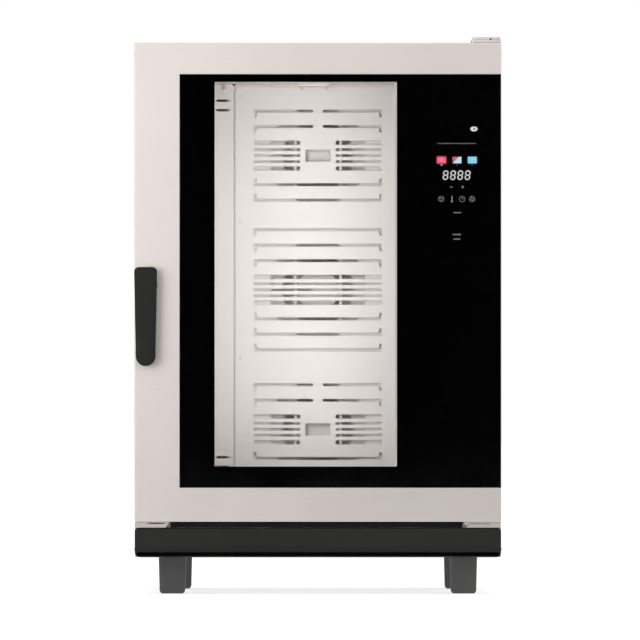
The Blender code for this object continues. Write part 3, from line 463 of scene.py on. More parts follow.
def plate(loops, start, end, turn=FRONT_VIEW, edge=0.0002):
    """A flat outline with holes and eased edges, from start to end along its thickness."""
    edge = min(edge, (end - start) * 0.45)
    curve = bpy.data.curves.new("work", "CURVE")
    curve.dimensions = "2D"
    curve.fill_mode = "BOTH"
    curve.extrude = (end - start) / 2 - edge
    curve.bevel_depth = edge
    curve.bevel_resolution = 1
    curve.offset = -edge
    for loop in loops:
        spline = curve.splines.new("POLY")
        spline.points.add(len(loop) - 1)
        for point, (x, y) in zip(spline.points, loop):
            point.co = (x, y, 0.0, 1.0)
        spline.use_cyclic_u = True
    middle = (start + end) / 2
    shift = {0: (0, middle, 0), 1: (0, 0, middle), 2: (middle, 0, 0)}[
        [FRONT_VIEW, PLAN_VIEW, SIDE_VIEW].index(turn)]
    return curve_mesh(curve, Matrix.Translation(shift) @ turn)


def curve_mesh(curve, matrix):
    obj = link("work", curve)
    source = bpy.data.meshes.new_from_object(obj.evaluated_get(bpy.context.evaluated_depsgraph_get()))
    bpy.data.objects.remove(obj)
    bm = bmesh.new()
    bm.from_mesh(source)
    bmesh.ops.remove_doubles(bm, verts=bm.verts, dist=0.00001)
    bmesh.ops.transform(bm, matrix=matrix, verts=bm.verts)
    return to_mesh(bm)


def wire(routes, radius, cyclic=False, resolution=3):
    """Round bars along routes of points."""
    curve = bpy.data.curves.new("work", "CURVE")
    curve.dimensions = "3D"
    curve.bevel_depth = radius
    curve.bevel_resolution = resolution
    curve.use_fill_caps = not cyclic
    for points in routes:
        spline = curve.splines.new("POLY")
        spline.points.add(len(points) - 1)
        for point, place in zip(spline.points, points):
            point.co = (*place, 1.0)
        spline.use_cyclic_u = cyclic
    return curve_mesh(curve, Matrix())


def screws(places, facing, radius=0.0042, height=0.0022):
    """Button heads with a socket, on a face that looks along the given axis."""
    out = Vector(facing)
    turn = out.to_track_quat("Z", "Y").to_matrix().to_4x4()
    profile = [(radius, 0.0), (radius * 0.97, height * 0.35), (radius * 0.80, height * 0.82),
               (radius * 0.52, height), (radius * 0.46, height * 0.98), (radius * 0.40, height * 0.30),
               (0.0, height * 0.26)]
    bm = bmesh.new()
    for place in places:
        rings = []
        for r, h in profile:
            sides = 18
            rings.append([bm.verts.new(Vector(place) + (turn @ Vector(
                (r * cos(tau * i / sides), r * sin(tau * i / sides), h)))) for i in range(sides)]
                if r else [bm.verts.new(Vector(place) + (turn @ Vector((0, 0, h))))])
        for a, b in zip(rings, rings[1:]):
            for i in range(18):
                j = (i + 1) % 18
                bm.faces.new((a[i], a[j], b[j], b[i]) if len(b) > 1 else (a[i], a[j], b[0]))
        bm.faces.new(rings[0][::-1])
    return to_mesh(bm)


def louvres(rows, out, along, up, reach=0.006, steps=14):
    """Pressed hoods over slots. Each row is the slot's middle, its half length and its height."""
    out, along, up = Vector(out), Vector(along), Vector(up)
    bm = bmesh.new()
    for middle, half, height in rows:
        grid = []
        for i in range(steps + 1):
            s = -1 + 2 * i / steps
            swell = sqrt(max(0.0, 1 - abs(s) ** 6))
            line = []
            for j in range(7):
                t = j / 6
                lift = reach * swell * sin(t * pi / 2)
                point = Vector(middle) + along * (s * half) + up * height * (0.75 - 1.35 * t) + out * lift
                line.append(bm.verts.new(point))
            grid.append(line)
        for a, b in zip(grid, grid[1:]):
            for j in range(6):
                bm.faces.new((a[j], a[j + 1], b[j + 1], b[j]))
    bmesh.ops.recalc_face_normals(bm, faces=bm.faces)
    return modified(to_mesh(bm), ("SOLIDIFY", {"thickness": 0.0009, "offset": 0.0}))


def finish_node(node, look, bevel=0.0, segments=2):
    """A CAD node keeps its shape and takes a detailed finish and eased edges."""
    obj = NODES[node]
    if not obj.material_slots:
        obj.data.materials.append(None)
    for slot in obj.material_slots:
        slot.link = "OBJECT"
        slot.material = LOOKS[look]
    if bevel:
        modifier = obj.modifiers.new("eased_edges", "BEVEL")
        modifier.width = bevel
        modifier.segments = segments
        modifier.limit_method = "ANGLE"
        modifier.angle_limit = radians(40)
        modifier.use_clamp_overlap = True
    obj.data.shade_smooth()
    obj.data.set_sharp_from_angle(angle=radians(35))
    flatten_shading(obj)


# ---------------------------------------------------------------- door
def door_skin():
    """Folded steel skin, cut back to the right edge where the glass lies flush in it."""
    wall = 0.0014
    bm = bmesh.new()
    add_box(bm, DOOR_LOW, DOOR_HIGH)
    bm.normal_update()
    back = [f for f in bm.faces if f.normal.y > 0.9]
    bmesh.ops.delete(bm, geom=back, context="FACES")
    inner = [e for e in bm.edges if len(e.link_faces) == 2]
    bmesh.ops.bevel(bm, geom=inner, offset=0.0021, segments=4, profile=0.5, affect="EDGES")
    mesh = modified(to_mesh(bm, False), ("SOLIDIFY", {"thickness": wall, "offset": -1.0,
                                                      "use_even_offset": True}))
    edge = Vector((HAIR, 0, HAIR))
    low, high = GLASS_LOW - edge, GLASS_HIGH + edge
    notch = blocks([((low.x, low.y - 0.01, low.z), (high.x + 0.02, high.y + 0.0005, high.z))])
    mesh = combine(mesh, notch)
    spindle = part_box("latch_spindle")
    middle = (spindle[0] + spindle[1]) / 2
    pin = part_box("hinge_block_upper")
    pin = (pin[0] + pin[1]) / 2
    hole = turned([(0.0, DOOR_LOW.y - 0.01), (0.0085, DOOR_LOW.y - 0.01), (0.0085, DOOR_LOW.y + 0.01),
                   (0.0, DOOR_LOW.y + 0.01)], "Y", (middle.x, middle.z), 32)
    mesh = combine(mesh, hole)
    for z in (DOOR_LOW.z, DOOR_HIGH.z):
        hole = turned([(0.0, z - 0.01), (0.008, z - 0.01), (0.008, z + 0.01), (0.0, z + 0.01)], "Z",
                      (pin.x + 0.0009, pin.y), 32)
        mesh = combine(mesh, hole)
    mesh = soften(mesh, 0.00025, 1, 60)
    piece("door_skin", mesh, "door", "front_steel", ["door_frame"])


def glass_and_print():
    finish_node("door_outer_glass", "glass")
    finish_node("door_inner_glass", "glass")
    finish_node("glass_print", "enamel")
    finish_node("door_light", "lamp", 0.0008)
    low, high = GLASS_LOW, GLASS_HIGH
    wide = 0.0012
    rim = [rectangle((low.x - HAIR, low.z - HAIR), (high.x, high.z + HAIR)),
           rectangle((low.x + wide, low.z + wide), (high.x - 0.0005, high.z - wide))]
    bead = plate(rim, high.y + HAIR, high.y + 0.0030)
    piece("glass_bedding", bead, "door", "rubber")
    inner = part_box("door_inner_glass")
    clips = []
    for x in (inner[0].x + 0.004, inner[1].x - 0.004):
        for z in (0.36, 0.65, 0.94):
            clips.append(((x - 0.010, inner[1].y + HAIR, z - 0.012), (x + 0.010, inner[1].y + 0.0016,
                                                                      z + 0.012)))
    piece("inner_glass_clips", blocks(clips, 0.0005), "door", "bolt")


def segments_of_eight(x, z, width, height, thick, slant):
    """The seven bars of a slanted figure eight."""
    gap = thick * 0.22
    bars = []

    def lean(points):
        return [(x + px + slant * pz, z + pz) for px, pz in points]

    half_w, half_h, t = width / 2, height / 2, thick / 2
    for level in (-half_h, 0.0, half_h):
        bars.append(lean([(-half_w + gap, level), (-half_w + t + gap, level - t), (half_w - t - gap,
                                                                                   level - t),
                          (half_w - gap, level), (half_w - t - gap, level + t), (-half_w + t + gap,
                                                                                 level + t)]))
    for side in (-half_w, half_w):
        for start in (-half_h, 0.0):
            end = start + half_h
            bars.append(lean([(side, start + gap), (side + t, start + t + gap), (side + t, end - t - gap),
                              (side, end - gap), (side - t, end - t - gap), (side - t, start + t + gap)]))
    return bars


def ring(x, z, radius, line):
    return [circle(x, z, radius, 24), circle(x, z, radius - line, 24)]


def printed(name, loops, look, level=0):
    """Thin marks in the gap between the black print and the glass, stacked in three levels."""
    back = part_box("glass_print")[0].y - 0.00002 - level * 0.00008
    piece(name, joined(*[plate(group, back - 0.00005, back, edge=0.00001) for group in loops]), "door", look)


def dashes(x, z, count, width, height, gap):
    """A row of plain dashes, centred on a place."""
    pitch = width + gap
    places = [x + (i - (count - 1) / 2) * pitch for i in range(count)]
    return [[rectangle((place - width / 2, z - height / 2), (place + width / 2, z + height / 2))]
            for place in places]


def panel_keys():
    """Three lit keys: dry heat, mixed and steam, each with a lamp dot below it."""
    z, half_w, half_h = 0.8995, 0.0092, 0.0068
    hot, mixed, steam = 0.2561, 0.2882, 0.3199

    def square(x, grow=0.0):
        low, high = (x - half_w - grow, z - half_h - grow), (x + half_w + grow, z + half_h + grow)
        return round_corners(rectangle(low, high), 0.0022 + grow)

    printed("key_halo_red", [[square(hot, 0.0021)]], "red_halo")
    printed("key_halo_blue", [[square(steam, 0.0016)]], "blue_halo")
    printed("hot_key", [[square(hot)]], "red_key", 1)
    printed("steam_key", [[square(steam)]], "cyan_key", 1)
    left, right, low, high = mixed - half_w, mixed + half_w, z - half_h, z + half_h
    printed("mixed_key_hot", [[[(left, high), (left, low + 0.0010), (right - 0.0060, high)]]],
            "magenta_key", 1)
    printed("mixed_key_steam", [[[(left + 0.0004, low), (right, low), (right, high), (right - 0.0052, high),
                                  (left + 0.0004, low + 0.0006)]]], "blue_key", 1)
    strokes = []
    for x in (hot, mixed + 0.0015, steam):
        for i in (-1, 0, 1):
            wave = [(x + i * 0.0031 + 0.0008 * sin(t * tau / 8),
                     z - 0.0032 + 0.0062 * t / 8) for t in range(9)]
            strokes.append([[(px - 0.0004, pz) for px, pz in wave]
                            + [(px + 0.0004, pz) for px, pz in wave[::-1]]])
    printed("key_strokes", strokes, "pale_mark", 2)
    printed("key_dot_on", [[circle(hot, z - 0.0104, 0.0015, 16)]], "white_mark", 1)
    printed("key_dots_off", [[circle(x, z - 0.0104, 0.0010, 16)] for x in (mixed, steam)], "dim_mark", 1)


def panel_figures():
    """A four-figure display with a minus and a plus sign, under a rule and a pilot symbol."""
    middle = 0.2874
    figures = []
    for i in range(4):
        figures += [[bar] for bar in segments_of_eight(middle + (i - 1.5) * 0.0152, 0.8682, 0.0086, 0.0172,
                                                       0.0024, 0.10)]
    printed("display_figures", figures, "white_mark", 1)
    printed("panel_rule", [[rectangle((middle - 0.0402, 0.9331), (middle + 0.0402, 0.9347))]], "dim_mark", 1)
    eye = [(0.3233 + 0.0078 * cos(a), 0.9640 + 0.0052 * sin(a) * abs(sin(a)) ** 0.3)
           for a in [tau * i / 28 for i in range(28)]]
    printed("pilot_symbol", [[eye, circle(0.3240, 0.9640, 0.0019, 16)]], "white_mark", 1)
    z, arm, line = 0.8436, 0.0030, 0.0006
    minus = rectangle((0.2762 - arm, z - line), (0.2762 + arm, z + line))
    quarter = [(line, line), (line, arm), (-line, arm), (-line, line)]
    plus = []
    for turn in range(4):
        c, d = (1, 0, -1, 0)[turn], (0, 1, 0, -1)[turn]
        plus += [(0.2999 + px * c - pz * d, z + px * d + pz * c) for px, pz in quarter[:-1]]
    printed("step_signs", [[minus], [plus]], "grey_mark", 1)


def panel_icons():
    """Small plain symbols for air, probe, clock and fan, and rows of dashes in place of words."""
    z = 0.8188
    air, probe, clock, fan = 0.2555, 0.2776, 0.2988, 0.3195
    icons = [ring(x, z, 0.0060, 0.0008) for x in (air, clock, fan)]
    for x, count, reach in ((air, 3, 0.0028), (fan, 4, 0.0030)):
        for i in range(count):
            angle = tau * i / count + 0.4
            icons.append([circle(x + reach * cos(angle), z + reach * sin(angle), 0.0012, 12)])
    icons.append([rectangle((clock - 0.0004, z - 0.0004), (clock + 0.0004, z + 0.0042))])
    icons.append([rectangle((clock + 0.0005, z - 0.0004), (clock + 0.0031, z + 0.0004))])
    icons.append([circle(probe, z - 0.0052, 0.0021, 16)])
    icons.append([round_corners(rectangle((probe - 0.0009, z - 0.0030), (probe + 0.0009, z + 0.0066)),
                                0.0008)])
    printed("function_symbols", icons, "grey_mark", 1)
    rows = dashes(0.2886, 0.7906, 4, 0.0030, 0.0024, 0.0014)
    rows += dashes(0.2876, 0.7453, 4, 0.0032, 0.0030, 0.0013)
    rows += dashes(0.2876, 0.7356, 3, 0.0036, 0.0030, 0.0013)
    printed("word_dashes", rows, "faint_mark", 1)


def handle():
    """A paddle with a round lower end and a shallow crease, on a round neck."""
    low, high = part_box("door_handle")
    axis = (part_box("latch_spindle")[0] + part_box("latch_spindle")[1]) / 2
    half_top = (high.x - low.x) / 2
    half_low = half_top - 0.0035
    corner, end = 0.010, half_low
    front, back = low.y, low.y + 0.022
    height = high.z - low.z
    rings = []
    steps = 64
    for i in range(steps + 1):
        u = 0.5 - 0.5 * cos(pi * i / steps)
        z = low.z + height * u
        half = half_low + (half_top - half_low) * (z - low.z - end) / (height - end)
        if z < low.z + end:
            half = sqrt(max(0.0, end ** 2 - (low.z + end - z) ** 2))
        if z > high.z - corner:
            half -= corner - sqrt(max(0.0, corner ** 2 - (z - high.z + corner) ** 2))
        near_end = min(z - low.z, high.z - z)
        fillet = 0.006
        inset = fillet - sqrt(max(0.0, fillet ** 2 - max(0.0, fillet - near_end) ** 2))
        crease = 0.0011 * exp(-((z - axis.z + 0.048) / 0.0035) ** 2)
        hollow = 0.0016 * exp(-((z - axis.z + 0.100) / 0.030) ** 2)
        y0, y1 = front + inset + crease + hollow, back - inset
        ring_points = []
        for k in range(48):
            a = tau * k / 48
            power = 2 / 4.6
            cx = abs(cos(a)) ** power * (1 if cos(a) >= 0 else -1)
            cy = abs(sin(a)) ** power * (1 if sin(a) >= 0 else -1)
            ring_points.append((axis.x + max(half, 0.0004) * cx, (y0 + y1) / 2 + (y1 - y0) / 2 * cy, z))
        rings.append(ring_points)
    grip = loft(rings)
    neck_end = DOOR_FRONT - 0.0015
    neck = turned([(0.0, back - 0.006), (0.0165, back - 0.006), (0.0160, back + 0.004), (0.0150,
                                                                                         neck_end - 0.007),
                   (0.0185, neck_end - 0.0035), (0.0185, neck_end), (0.0, neck_end)], "Y", (axis.x, axis.z))
    piece("handle_grip", joined(grip, neck), "handle", "black_plastic", ["door_handle"], 50)
    collar = turned([(0.0195, DOOR_FRONT - 0.0012), (0.0225, DOOR_FRONT - 0.0010), (0.0235,
                                                                                    DOOR_FRONT - 0.0002),
                     (0.0195, DOOR_FRONT - 0.0002)], "Y", (axis.x, axis.z))
    piece("handle_escutcheon", collar, "door", "black_plastic")
    finish_node("latch_spindle", "zinc", 0.0004)


def door_inside():
    finish_node("door_inner_liner", "top_steel", 0.0008)
    finish_node("hinge_block_lower", "zinc", 0.0008)
    finish_node("hinge_block_upper", "zinc", 0.0008)
    finish_node("control_housing", "black_plastic", 0.0006)
    finish_node("control_board", "board")
    low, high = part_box("door_inner_liner")
    places = [(x, high.y, z) for z in (low.z + 0.020, high.z - 0.020)
              for x in (-0.300, -0.100, 0.100, 0.300)]
    places += [(x, high.y, z) for z in (0.400, 0.880) for x in (-0.352, 0.345)]
    piece("door_liner_screws", screws(places, (0, 1, 0)), "door", "bolt")
    pad = [round_corners(rectangle((0.222, 0.300), (0.345, 1.010)), 0.010),
           round_corners(rectangle((0.226, 0.304), (0.341, 1.006)), 0.008)]
    piece("door_liner_bead", plate(pad, high.y, high.y + 0.0010, edge=0.0004), "door", "top_steel")


# ---------------------------------------------------------------- brackets, bar and feet
def brackets():
    low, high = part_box("upper_hinge_bracket")
    step = TOP_HIGH.z + 0.0066
    base = [round_corners(rectangle((low.x, low.y), (high.x, high.y)), 0.003),
            circle(low.x + 0.018, high.y - 0.012, 0.0030, 20)]
    cover = [round_corners(rectangle((low.x + 0.0032, low.y + 0.0015), (high.x - 0.0012, high.y - 0.018)),
                           0.004),
             circle(0.3560, low.y + 0.012, 0.0030, 20)]
    mesh = joined(plate(base, TOP_HIGH.z + HAIR, step, PLAN_VIEW, 0.0006),
                  plate(cover, step, high.z - 0.0002, PLAN_VIEW, 0.0008),
                  turned([(0.0, TOP_LOW.z - 0.022), (0.0062, TOP_LOW.z - 0.022), (0.0069, TOP_LOW.z - 0.020),
                          (0.0069, step), (0.0, step)], "Z", (0.366, -0.372)))
    piece("top_hinge_plate", mesh, "cabinet", "front_steel", ["upper_hinge_bracket"])
    heads = screws([(x, y, step) for x in (0.332, 0.366) for y in (high.y - 0.009,)], (0, 0, 1), 0.0045,
                   0.0024)
    front = screws([(0.3725, low.y, 1.1500)], (0, -1, 0), 0.0022, 0.0010)
    piece("top_hinge_screws", joined(heads, front), "cabinet", "bolt")
    # Painted shade: a dark plug stands for the shade inside the hinge's screw hole.
    hole = turned([(0.0, low.y - 0.0003), (0.0020, low.y - 0.0003), (0.0020, low.y + 0.0015), (0.0,
                                                                                               low.y + 0.0015)],
                  "Y", (0.3580, 1.1500), 20)
    piece("top_hinge_hole", hole, "cabinet", "painted_shade_marks")

    for node, name, side in (("lower_hinge_bracket", "lower_hinge_plate", 1), ("door_rest",
                                                                               "door_rest_plate", -1)):
        low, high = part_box(node)
        outer = high.x if side > 0 else low.x
        inner = low.x if side > 0 else high.x
        top = 0.1495
        slant = 0.008 * side
        outline = [(inner + slant, low.z), (outer, low.z), (outer, top), (inner, top)]
        if side < 0:
            outline = outline[::-1]
        bar = plate([round_corners(outline, 0.0016)], low.y, high.y, edge=0.0007)
        if side > 0:
            pin = turned([(0.0, top - 0.002), (0.0069, top - 0.002), (0.0069, high.z - 0.002), (0.0060,
                                                                                                high.z),
                          (0.0, high.z)], "Z", (0.366, -0.372))
            bar = joined(bar, pin)
        # the brackets take the darker steel with painted shade
        piece(name, bar, "cabinet", "shaded_bracket_steel", [node])
        # Painted shade: thin dark plates on the front give the shade of a slot and a hole on the hinge plate
        # and a lens-shaped patch of shade on the door rest.
        y0, y1 = low.y - 0.0002, low.y + 0.0006
        if side > 0:
            line = rectangle((0.3125, 0.1452), (0.3560, 0.1464))
            dots = [[line], [circle(0.3095, 0.1428, 0.0016, 16)]]
        else:
            lens = [(-0.3350 + 0.0205 * cos(a),
                     0.1468 + 0.0013 * sin(a)) for a in [tau * i / 24 for i in range(24)]]
            dots = [[lens]]
        piece(f"{name}_slot", joined(*[plate(d, y0, y1, edge=0.0001) for d in dots]), "cabinet", "painted_shade_marks")


def front_bar():
    """The gutter under the door: a moulded trough whose face rolls back at the bottom."""
    low, high = BAR_LOW, BAR_HIGH
    back = FRAME_LOW.y - 0.0005
    wall = 0.003
    roll, lip = 0.022, 0.0035
    points = [(back, high.z), (back, low.z)]
    for i in range(11):
        a = -pi / 2 - (pi / 2) * i / 10
        points.append((low.y + roll + roll * cos(a), low.z + roll + roll * sin(a)))
    for i in range(7):
        a = pi - (pi / 2) * i / 6
        points.append((low.y + lip + lip * cos(a), high.z - lip + lip * sin(a)))
    body = plate([points], low.x, high.x, SIDE_VIEW, 0.0)
    corners = rectangle((low.x, low.z), (high.x, high.z))
    outline = []
    for (x, z), radius, quarter in zip(corners, (0.011, 0.011, 0.006, 0.006), (2, 3, 0, 1)):
        cx = x + radius * (1 if quarter in (1, 2) else -1)
        cz = z + radius * (1 if quarter in (2, 3) else -1)
        for i in range(7):
            a = (quarter + i / 6) * pi / 2
            outline.append((cx + radius * cos(a), cz + radius * sin(a)))
    body = combine(body, plate([outline], low.y - 0.02, back + 0.02, edge=0.0), "INTERSECT")
    trough = blocks([((low.x + wall, low.y + wall, low.z + wall), (high.x - wall, back - wall,
                                                                   high.z + 0.02))],
                    0.004, 3)
    body = soften(combine(body, trough), 0.0006, 2, 50)
    tongues = blocks([((x - 0.0145, back - 0.001, 0.0840), (x + 0.0145, high.y, 0.0870)) for x in (-0.25,
                                                                                                   0.25)],
                     0.0008)
    piece("gutter", joined(body, tongues), "drip_tray_body", "bar_plastic", ["drip_tray"])
    rest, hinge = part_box("door_rest"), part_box("lower_hinge_bracket")
    # Painted shade: a dark rubber strip fills the gap between the door and the gutter, where there is only
    # shade.
    gap_shade_block = blocks([((rest[1].x + 0.001, FRAME_LOW.y - 0.0030, high.z + 0.0008),
                        (hinge[0].x - 0.001, FRAME_LOW.y - HAIR, DOOR_LOW.z + 0.0020))], 0.0008)
    piece("gap_shade_strip", gap_shade_block, "cabinet", "rubber")


def feet():
    for side in ("left", "right"):
        for end in ("front", "rear"):
            node = f"foot_{end}_{side}"
            low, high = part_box(node)
            middle = (low + high) / 2
            top = FEET_TOP
            levels = [(0.0, 0.0205), (0.0006, 0.0229), (0.0021, 0.0248), (0.0043, 0.0260), (0.0072, 0.0267),
                      (0.0300, 0.0273), (0.0600, 0.0280),
                      (top - 0.0022, 0.0284), (top - 0.0006, 0.0280), (top, 0.0272)]
            rings = []
            for z, half in levels:
                points = []
                for k in range(48):
                    a = tau * k / 48
                    power = 2 / 7.5
                    cx = abs(cos(a)) ** power * (1 if cos(a) >= 0 else -1)
                    cy = abs(sin(a)) ** power * (1 if sin(a) >= 0 else -1)
                    points.append((middle.x + half * cx, middle.y + half * cy, z))
                rings.append(points)
            stem = turned([(0.0, top - 0.004), (0.0060, top - 0.004), (0.0060, high.z - 0.001), (0.0052,
                                                                                                 high.z),
                           (0.0, high.z)], "Z", (middle.x, middle.y), 24)
            foot = joined(loft(rings), stem)
            piece(f"levelling_{node}", foot, body_of(node), "foot_plastic", [node])


# ---------------------------------------------------------------- cooking cavity
def u_slot(z, inward, x0, x1, legs, height, leg):
    half = height / 2
    outer, inner = z - inward * half, z + inward * half
    tip = outer + inward * leg
    points = [(x0, outer), (x1, outer)]
    points += [(x1, tip), (x1 - height, tip), (x1 - height, inner)] if "right" in legs else [(x1, inner)]
    points += [(x0 + height, inner), (x0 + height, tip), (x0, tip)] if "left" in legs else [(x0, inner)]
    return points


def baffle():
    """Pressed sheet in front of the fans, its slots with round ends."""
    half, web, gap = 0.1366, 0.0105, 0.0375
    height, leg = 0.0062, 0.0160
    far, near, outer_row = 0.0948, 0.0619, 0.1280
    core = {0.0274: 0.0090, 0.0127: 0.0054, 0.0: 0.0054, -0.0127: 0.0054, -0.0274: 0.0090}
    low, high = BAFFLE_LOW, BAFFLE_HIGH
    side = high.x
    outline = [(-side, low.z), (side, low.z), (side, high.z - 0.012), (side - 0.006, high.z),
               (-side + 0.006, high.z), (-side, high.z - 0.012)]
    loops = [round_corners(outline, 0.0015, 2)]
    for place, centre in FANS.items():
        rows = [far, near, -near, -far]
        if place == "middle":
            rows = [outer_row, *rows, -outer_row]
        for row in rows:
            inward = -1 if row > 0 else 1
            z = centre.z + row
            if place != "middle" and row > 0:
                found = [u_slot(z, inward, -half, -web, ["left"], height, leg),
                         u_slot(z, inward, web, half, ["right"], height, leg)]
            else:
                found = [u_slot(z, inward, -half, half, ["left", "right"], height, leg)]
            loops += [round_corners(points, 0.0035) for points in found]
        for row, tall in core.items():
            z0, z1 = centre.z + row - tall / 2, centre.z + row + tall / 2
            spans = [(-half, half)] if place == "middle" else [(-half, -gap), (gap, half)]
            loops += [round_corners(rectangle((a, z0), (b, z1)), tall * 0.5) for a, b in spans]
        if place != "middle":
            loops.append(round_corners(rectangle((-0.0265, centre.z - 0.0128), (0.0265, centre.z + 0.0128)),
                                       0.002))
    face = low.y
    sheet = plate(loops, face, face + 0.0015, edge=0.0005)
    legs = blocks([((x - 0.004, face + 0.0007, z - 0.004), (x + 0.004, high.y, z + 0.004))
                   for x in (-0.165, 0.165) for z in (low.z + 0.012, high.z - 0.022)])
    flange = blocks([((-side, face + 0.0040, high.z - 0.010), (side, face + 0.0048, high.z + 0.0048))])
    piece("air_guide", joined(sheet, legs, flange), "cabinet", "lining", ["air_baffle"])
    places = [(x, face, z) for x in (-0.165, 0.165) for z in (low.z + 0.012, 0.493, 0.784, high.z - 0.022)]
    piece("air_guide_screws", screws(places, (0, -1, 0), 0.0036, 0.0016), "cabinet", "lining")


def wings():
    for side in ("left", "right"):
        node = f"baffle_wing_{side}"
        low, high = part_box(node)
        sign = 1 if side == "right" else -1
        inner = min(abs(low.x), abs(high.x))
        loops = [round_corners(rectangle((low.x, low.z), (high.x, high.z)), 0.001, 1)]
        for z in (high.z - 0.0349, high.z - 0.0552, low.z + 0.0849, low.z + 0.0646):
            x = sorted((sign * (inner + 0.006), sign * (inner + 0.035)))
            loops.append(round_corners(rectangle((x[0], z - 0.0026), (x[1], z + 0.0026)), 0.0025))
        sheet = plate(loops, low.y, low.y + 0.0015, edge=0.0005)
        legs = blocks([((sign * x - 0.004, low.y + 0.0007, z - 0.004), (sign * x + 0.004, high.y, z + 0.004))
                       for x in (0.230, 0.290) for z in (low.z + 0.012, 1.044)])
        x = sorted((sign * (inner - 0.010), sign * (inner + 0.012)))
        flange = blocks([((x[0], low.y + 0.0068, low.z + 0.004), (x[1], low.y + 0.0076, high.z - 0.004))])
        piece(f"wing_{side}", joined(sheet, legs, flange), "cabinet", "lining", [node])


def gasket():
    """A hollow door seal, a rounded bulb run round the door opening."""
    low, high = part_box("door_gasket")
    back, front = high.y, low.y

    def around(grow, y, radius):
        points = round_corners(rectangle((low.x - grow, low.z - grow), (high.x + grow, high.z + grow)),
                               radius, 8)
        return [(x, y, z) for x, z in points]

    width = 0.012
    depth = back - front
    rings = []
    for i in range(12):
        a = tau * i / 12
        inset = width / 2 - width / 2 * cos(a)
        y = (front + back) / 2 + depth / 2 * sin(a)
        rings.append(around(-inset, y, 0.034 - inset))
    rings.append(rings[0])
    bm = bmesh.new()
    loops = [[bm.verts.new(p) for p in r] for r in rings[:-1]]
    count = len(loops[0])
    for i, a in enumerate(loops):
        b = loops[(i + 1) % len(loops)]
        for k in range(count):
            bm.faces.new((a[k], a[(k + 1) % count], b[(k + 1) % count], b[k]))
    piece("door_seal", to_mesh(bm), "cabinet", "rubber", ["door_gasket"])


def racks():
    for side in ("left", "right"):
        node = f"tray_rack_{side}"
        finish_node(node, "rail", 0.0004)
        low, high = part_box(node)
        sign = 1 if side == "right" else -1
        edge = min(abs(low.x), abs(high.x))
        lips = []
        for level in range(10):
            z = 0.245 + 0.080 * level
            x = sorted((sign * edge, sign * (edge + 0.0012)))
            lips.append(((x[0], low.y + 0.004, z - 0.0042), (x[1], high.y - 0.004, z + 0.0003)))
        piece(f"rail_lips_{side}", blocks(lips, 0.0005), f"rack_{side}", "rail")


def hub_cap(place, centre, front):
    """The clamping plate in front of a wheel's hub, with its nut."""
    disc = turned([(0.0, front - 0.0030), (0.0080, front - 0.0030), (0.0080, front - 0.0015),
                   (0.0440, front - 0.0015), (0.0448, front - 0.0009), (0.0440, front - HAIR),
                   (0.0, front - HAIR)], "Y", centre, 64)
    piece(f"hub_plate_{place}", disc, f"fan_{place}", "lining")


def cavity():
    finish_node("cavity_liner", "lining", 0.0004)
    for node in ("inlet_plate", "cavity_probe"):
        finish_node(node, "lining", 0.0003)
    finish_node("wash_nozzle", "lining", 0.0003)
    finish_node("drain_strainer", "lining", 0.0004)
    for place in FANS:
        finish_node(f"fan_wheel_{place}", "wheel", 0.0003, 1)
        low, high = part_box(f"fan_wheel_{place}")
        hub_cap(place, ((low.x + high.x) / 2, (low.z + high.z) / 2), low.y)
        finish_node(f"heater_ring_{place}", "heater")
        finish_node(f"fan_motor_{place}", "motor", 0.0012)
    finish_node("insulation", "wool")
    finish_node("latch_strike", "zinc", 0.0005)
    finish_node("front_frame", "front_steel", 0.0005)
    finish_node("water_injection_pipe", "rail")


# ---------------------------------------------------------------- cabinet outside
def side_panels():
    for side, sign in (("left", -1), ("right", 1)):
        node = f"{side}_side_panel"
        finish_node(node, "side_steel", 0.0012, 3)
        low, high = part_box(node)
        x = sign * max(abs(low.x), abs(high.x))
        rows = [((x - sign * 0.0002, 0.350, 0.1835 + i * 0.020), 0.052, 0.010) for i in range(7)]
        hoods = louvres(rows, (sign, 0, 0), (0, 1, 0), (0, 0, 1), 0.0052)
        piece(f"{side}_side_louvres", hoods, "cabinet", "side_steel")
        places = [(x, y, z) for y in (low.y + 0.020, 0.055, high.y - 0.020) for z in (low.z + 0.016,
                                                                                      high.z - 0.020)]
        places += [(x, high.y - 0.020, z) for z in (0.420, 0.700)]
        piece(f"{side}_side_screws", screws(places, (sign, 0, 0)), "cabinet", "bolt")
        outer = rectangle((low.y + 0.040, low.z + 0.040), (high.y - 0.040, high.z - 0.040))
        inner = rectangle((low.y + 0.043, low.z + 0.043), (high.y - 0.043, high.z - 0.043))
        bead = [round_corners(outer, 0.012), round_corners(inner, 0.010)]
        if sign > 0:
            mesh = plate(bead, x - 0.0004, x + 0.0007, SIDE_VIEW, 0.0004)
        else:
            mesh = plate(bead, x - 0.0007, x + 0.0004, SIDE_VIEW, 0.0004)
        piece(f"{side}_side_bead", mesh, "cabinet", "side_steel")


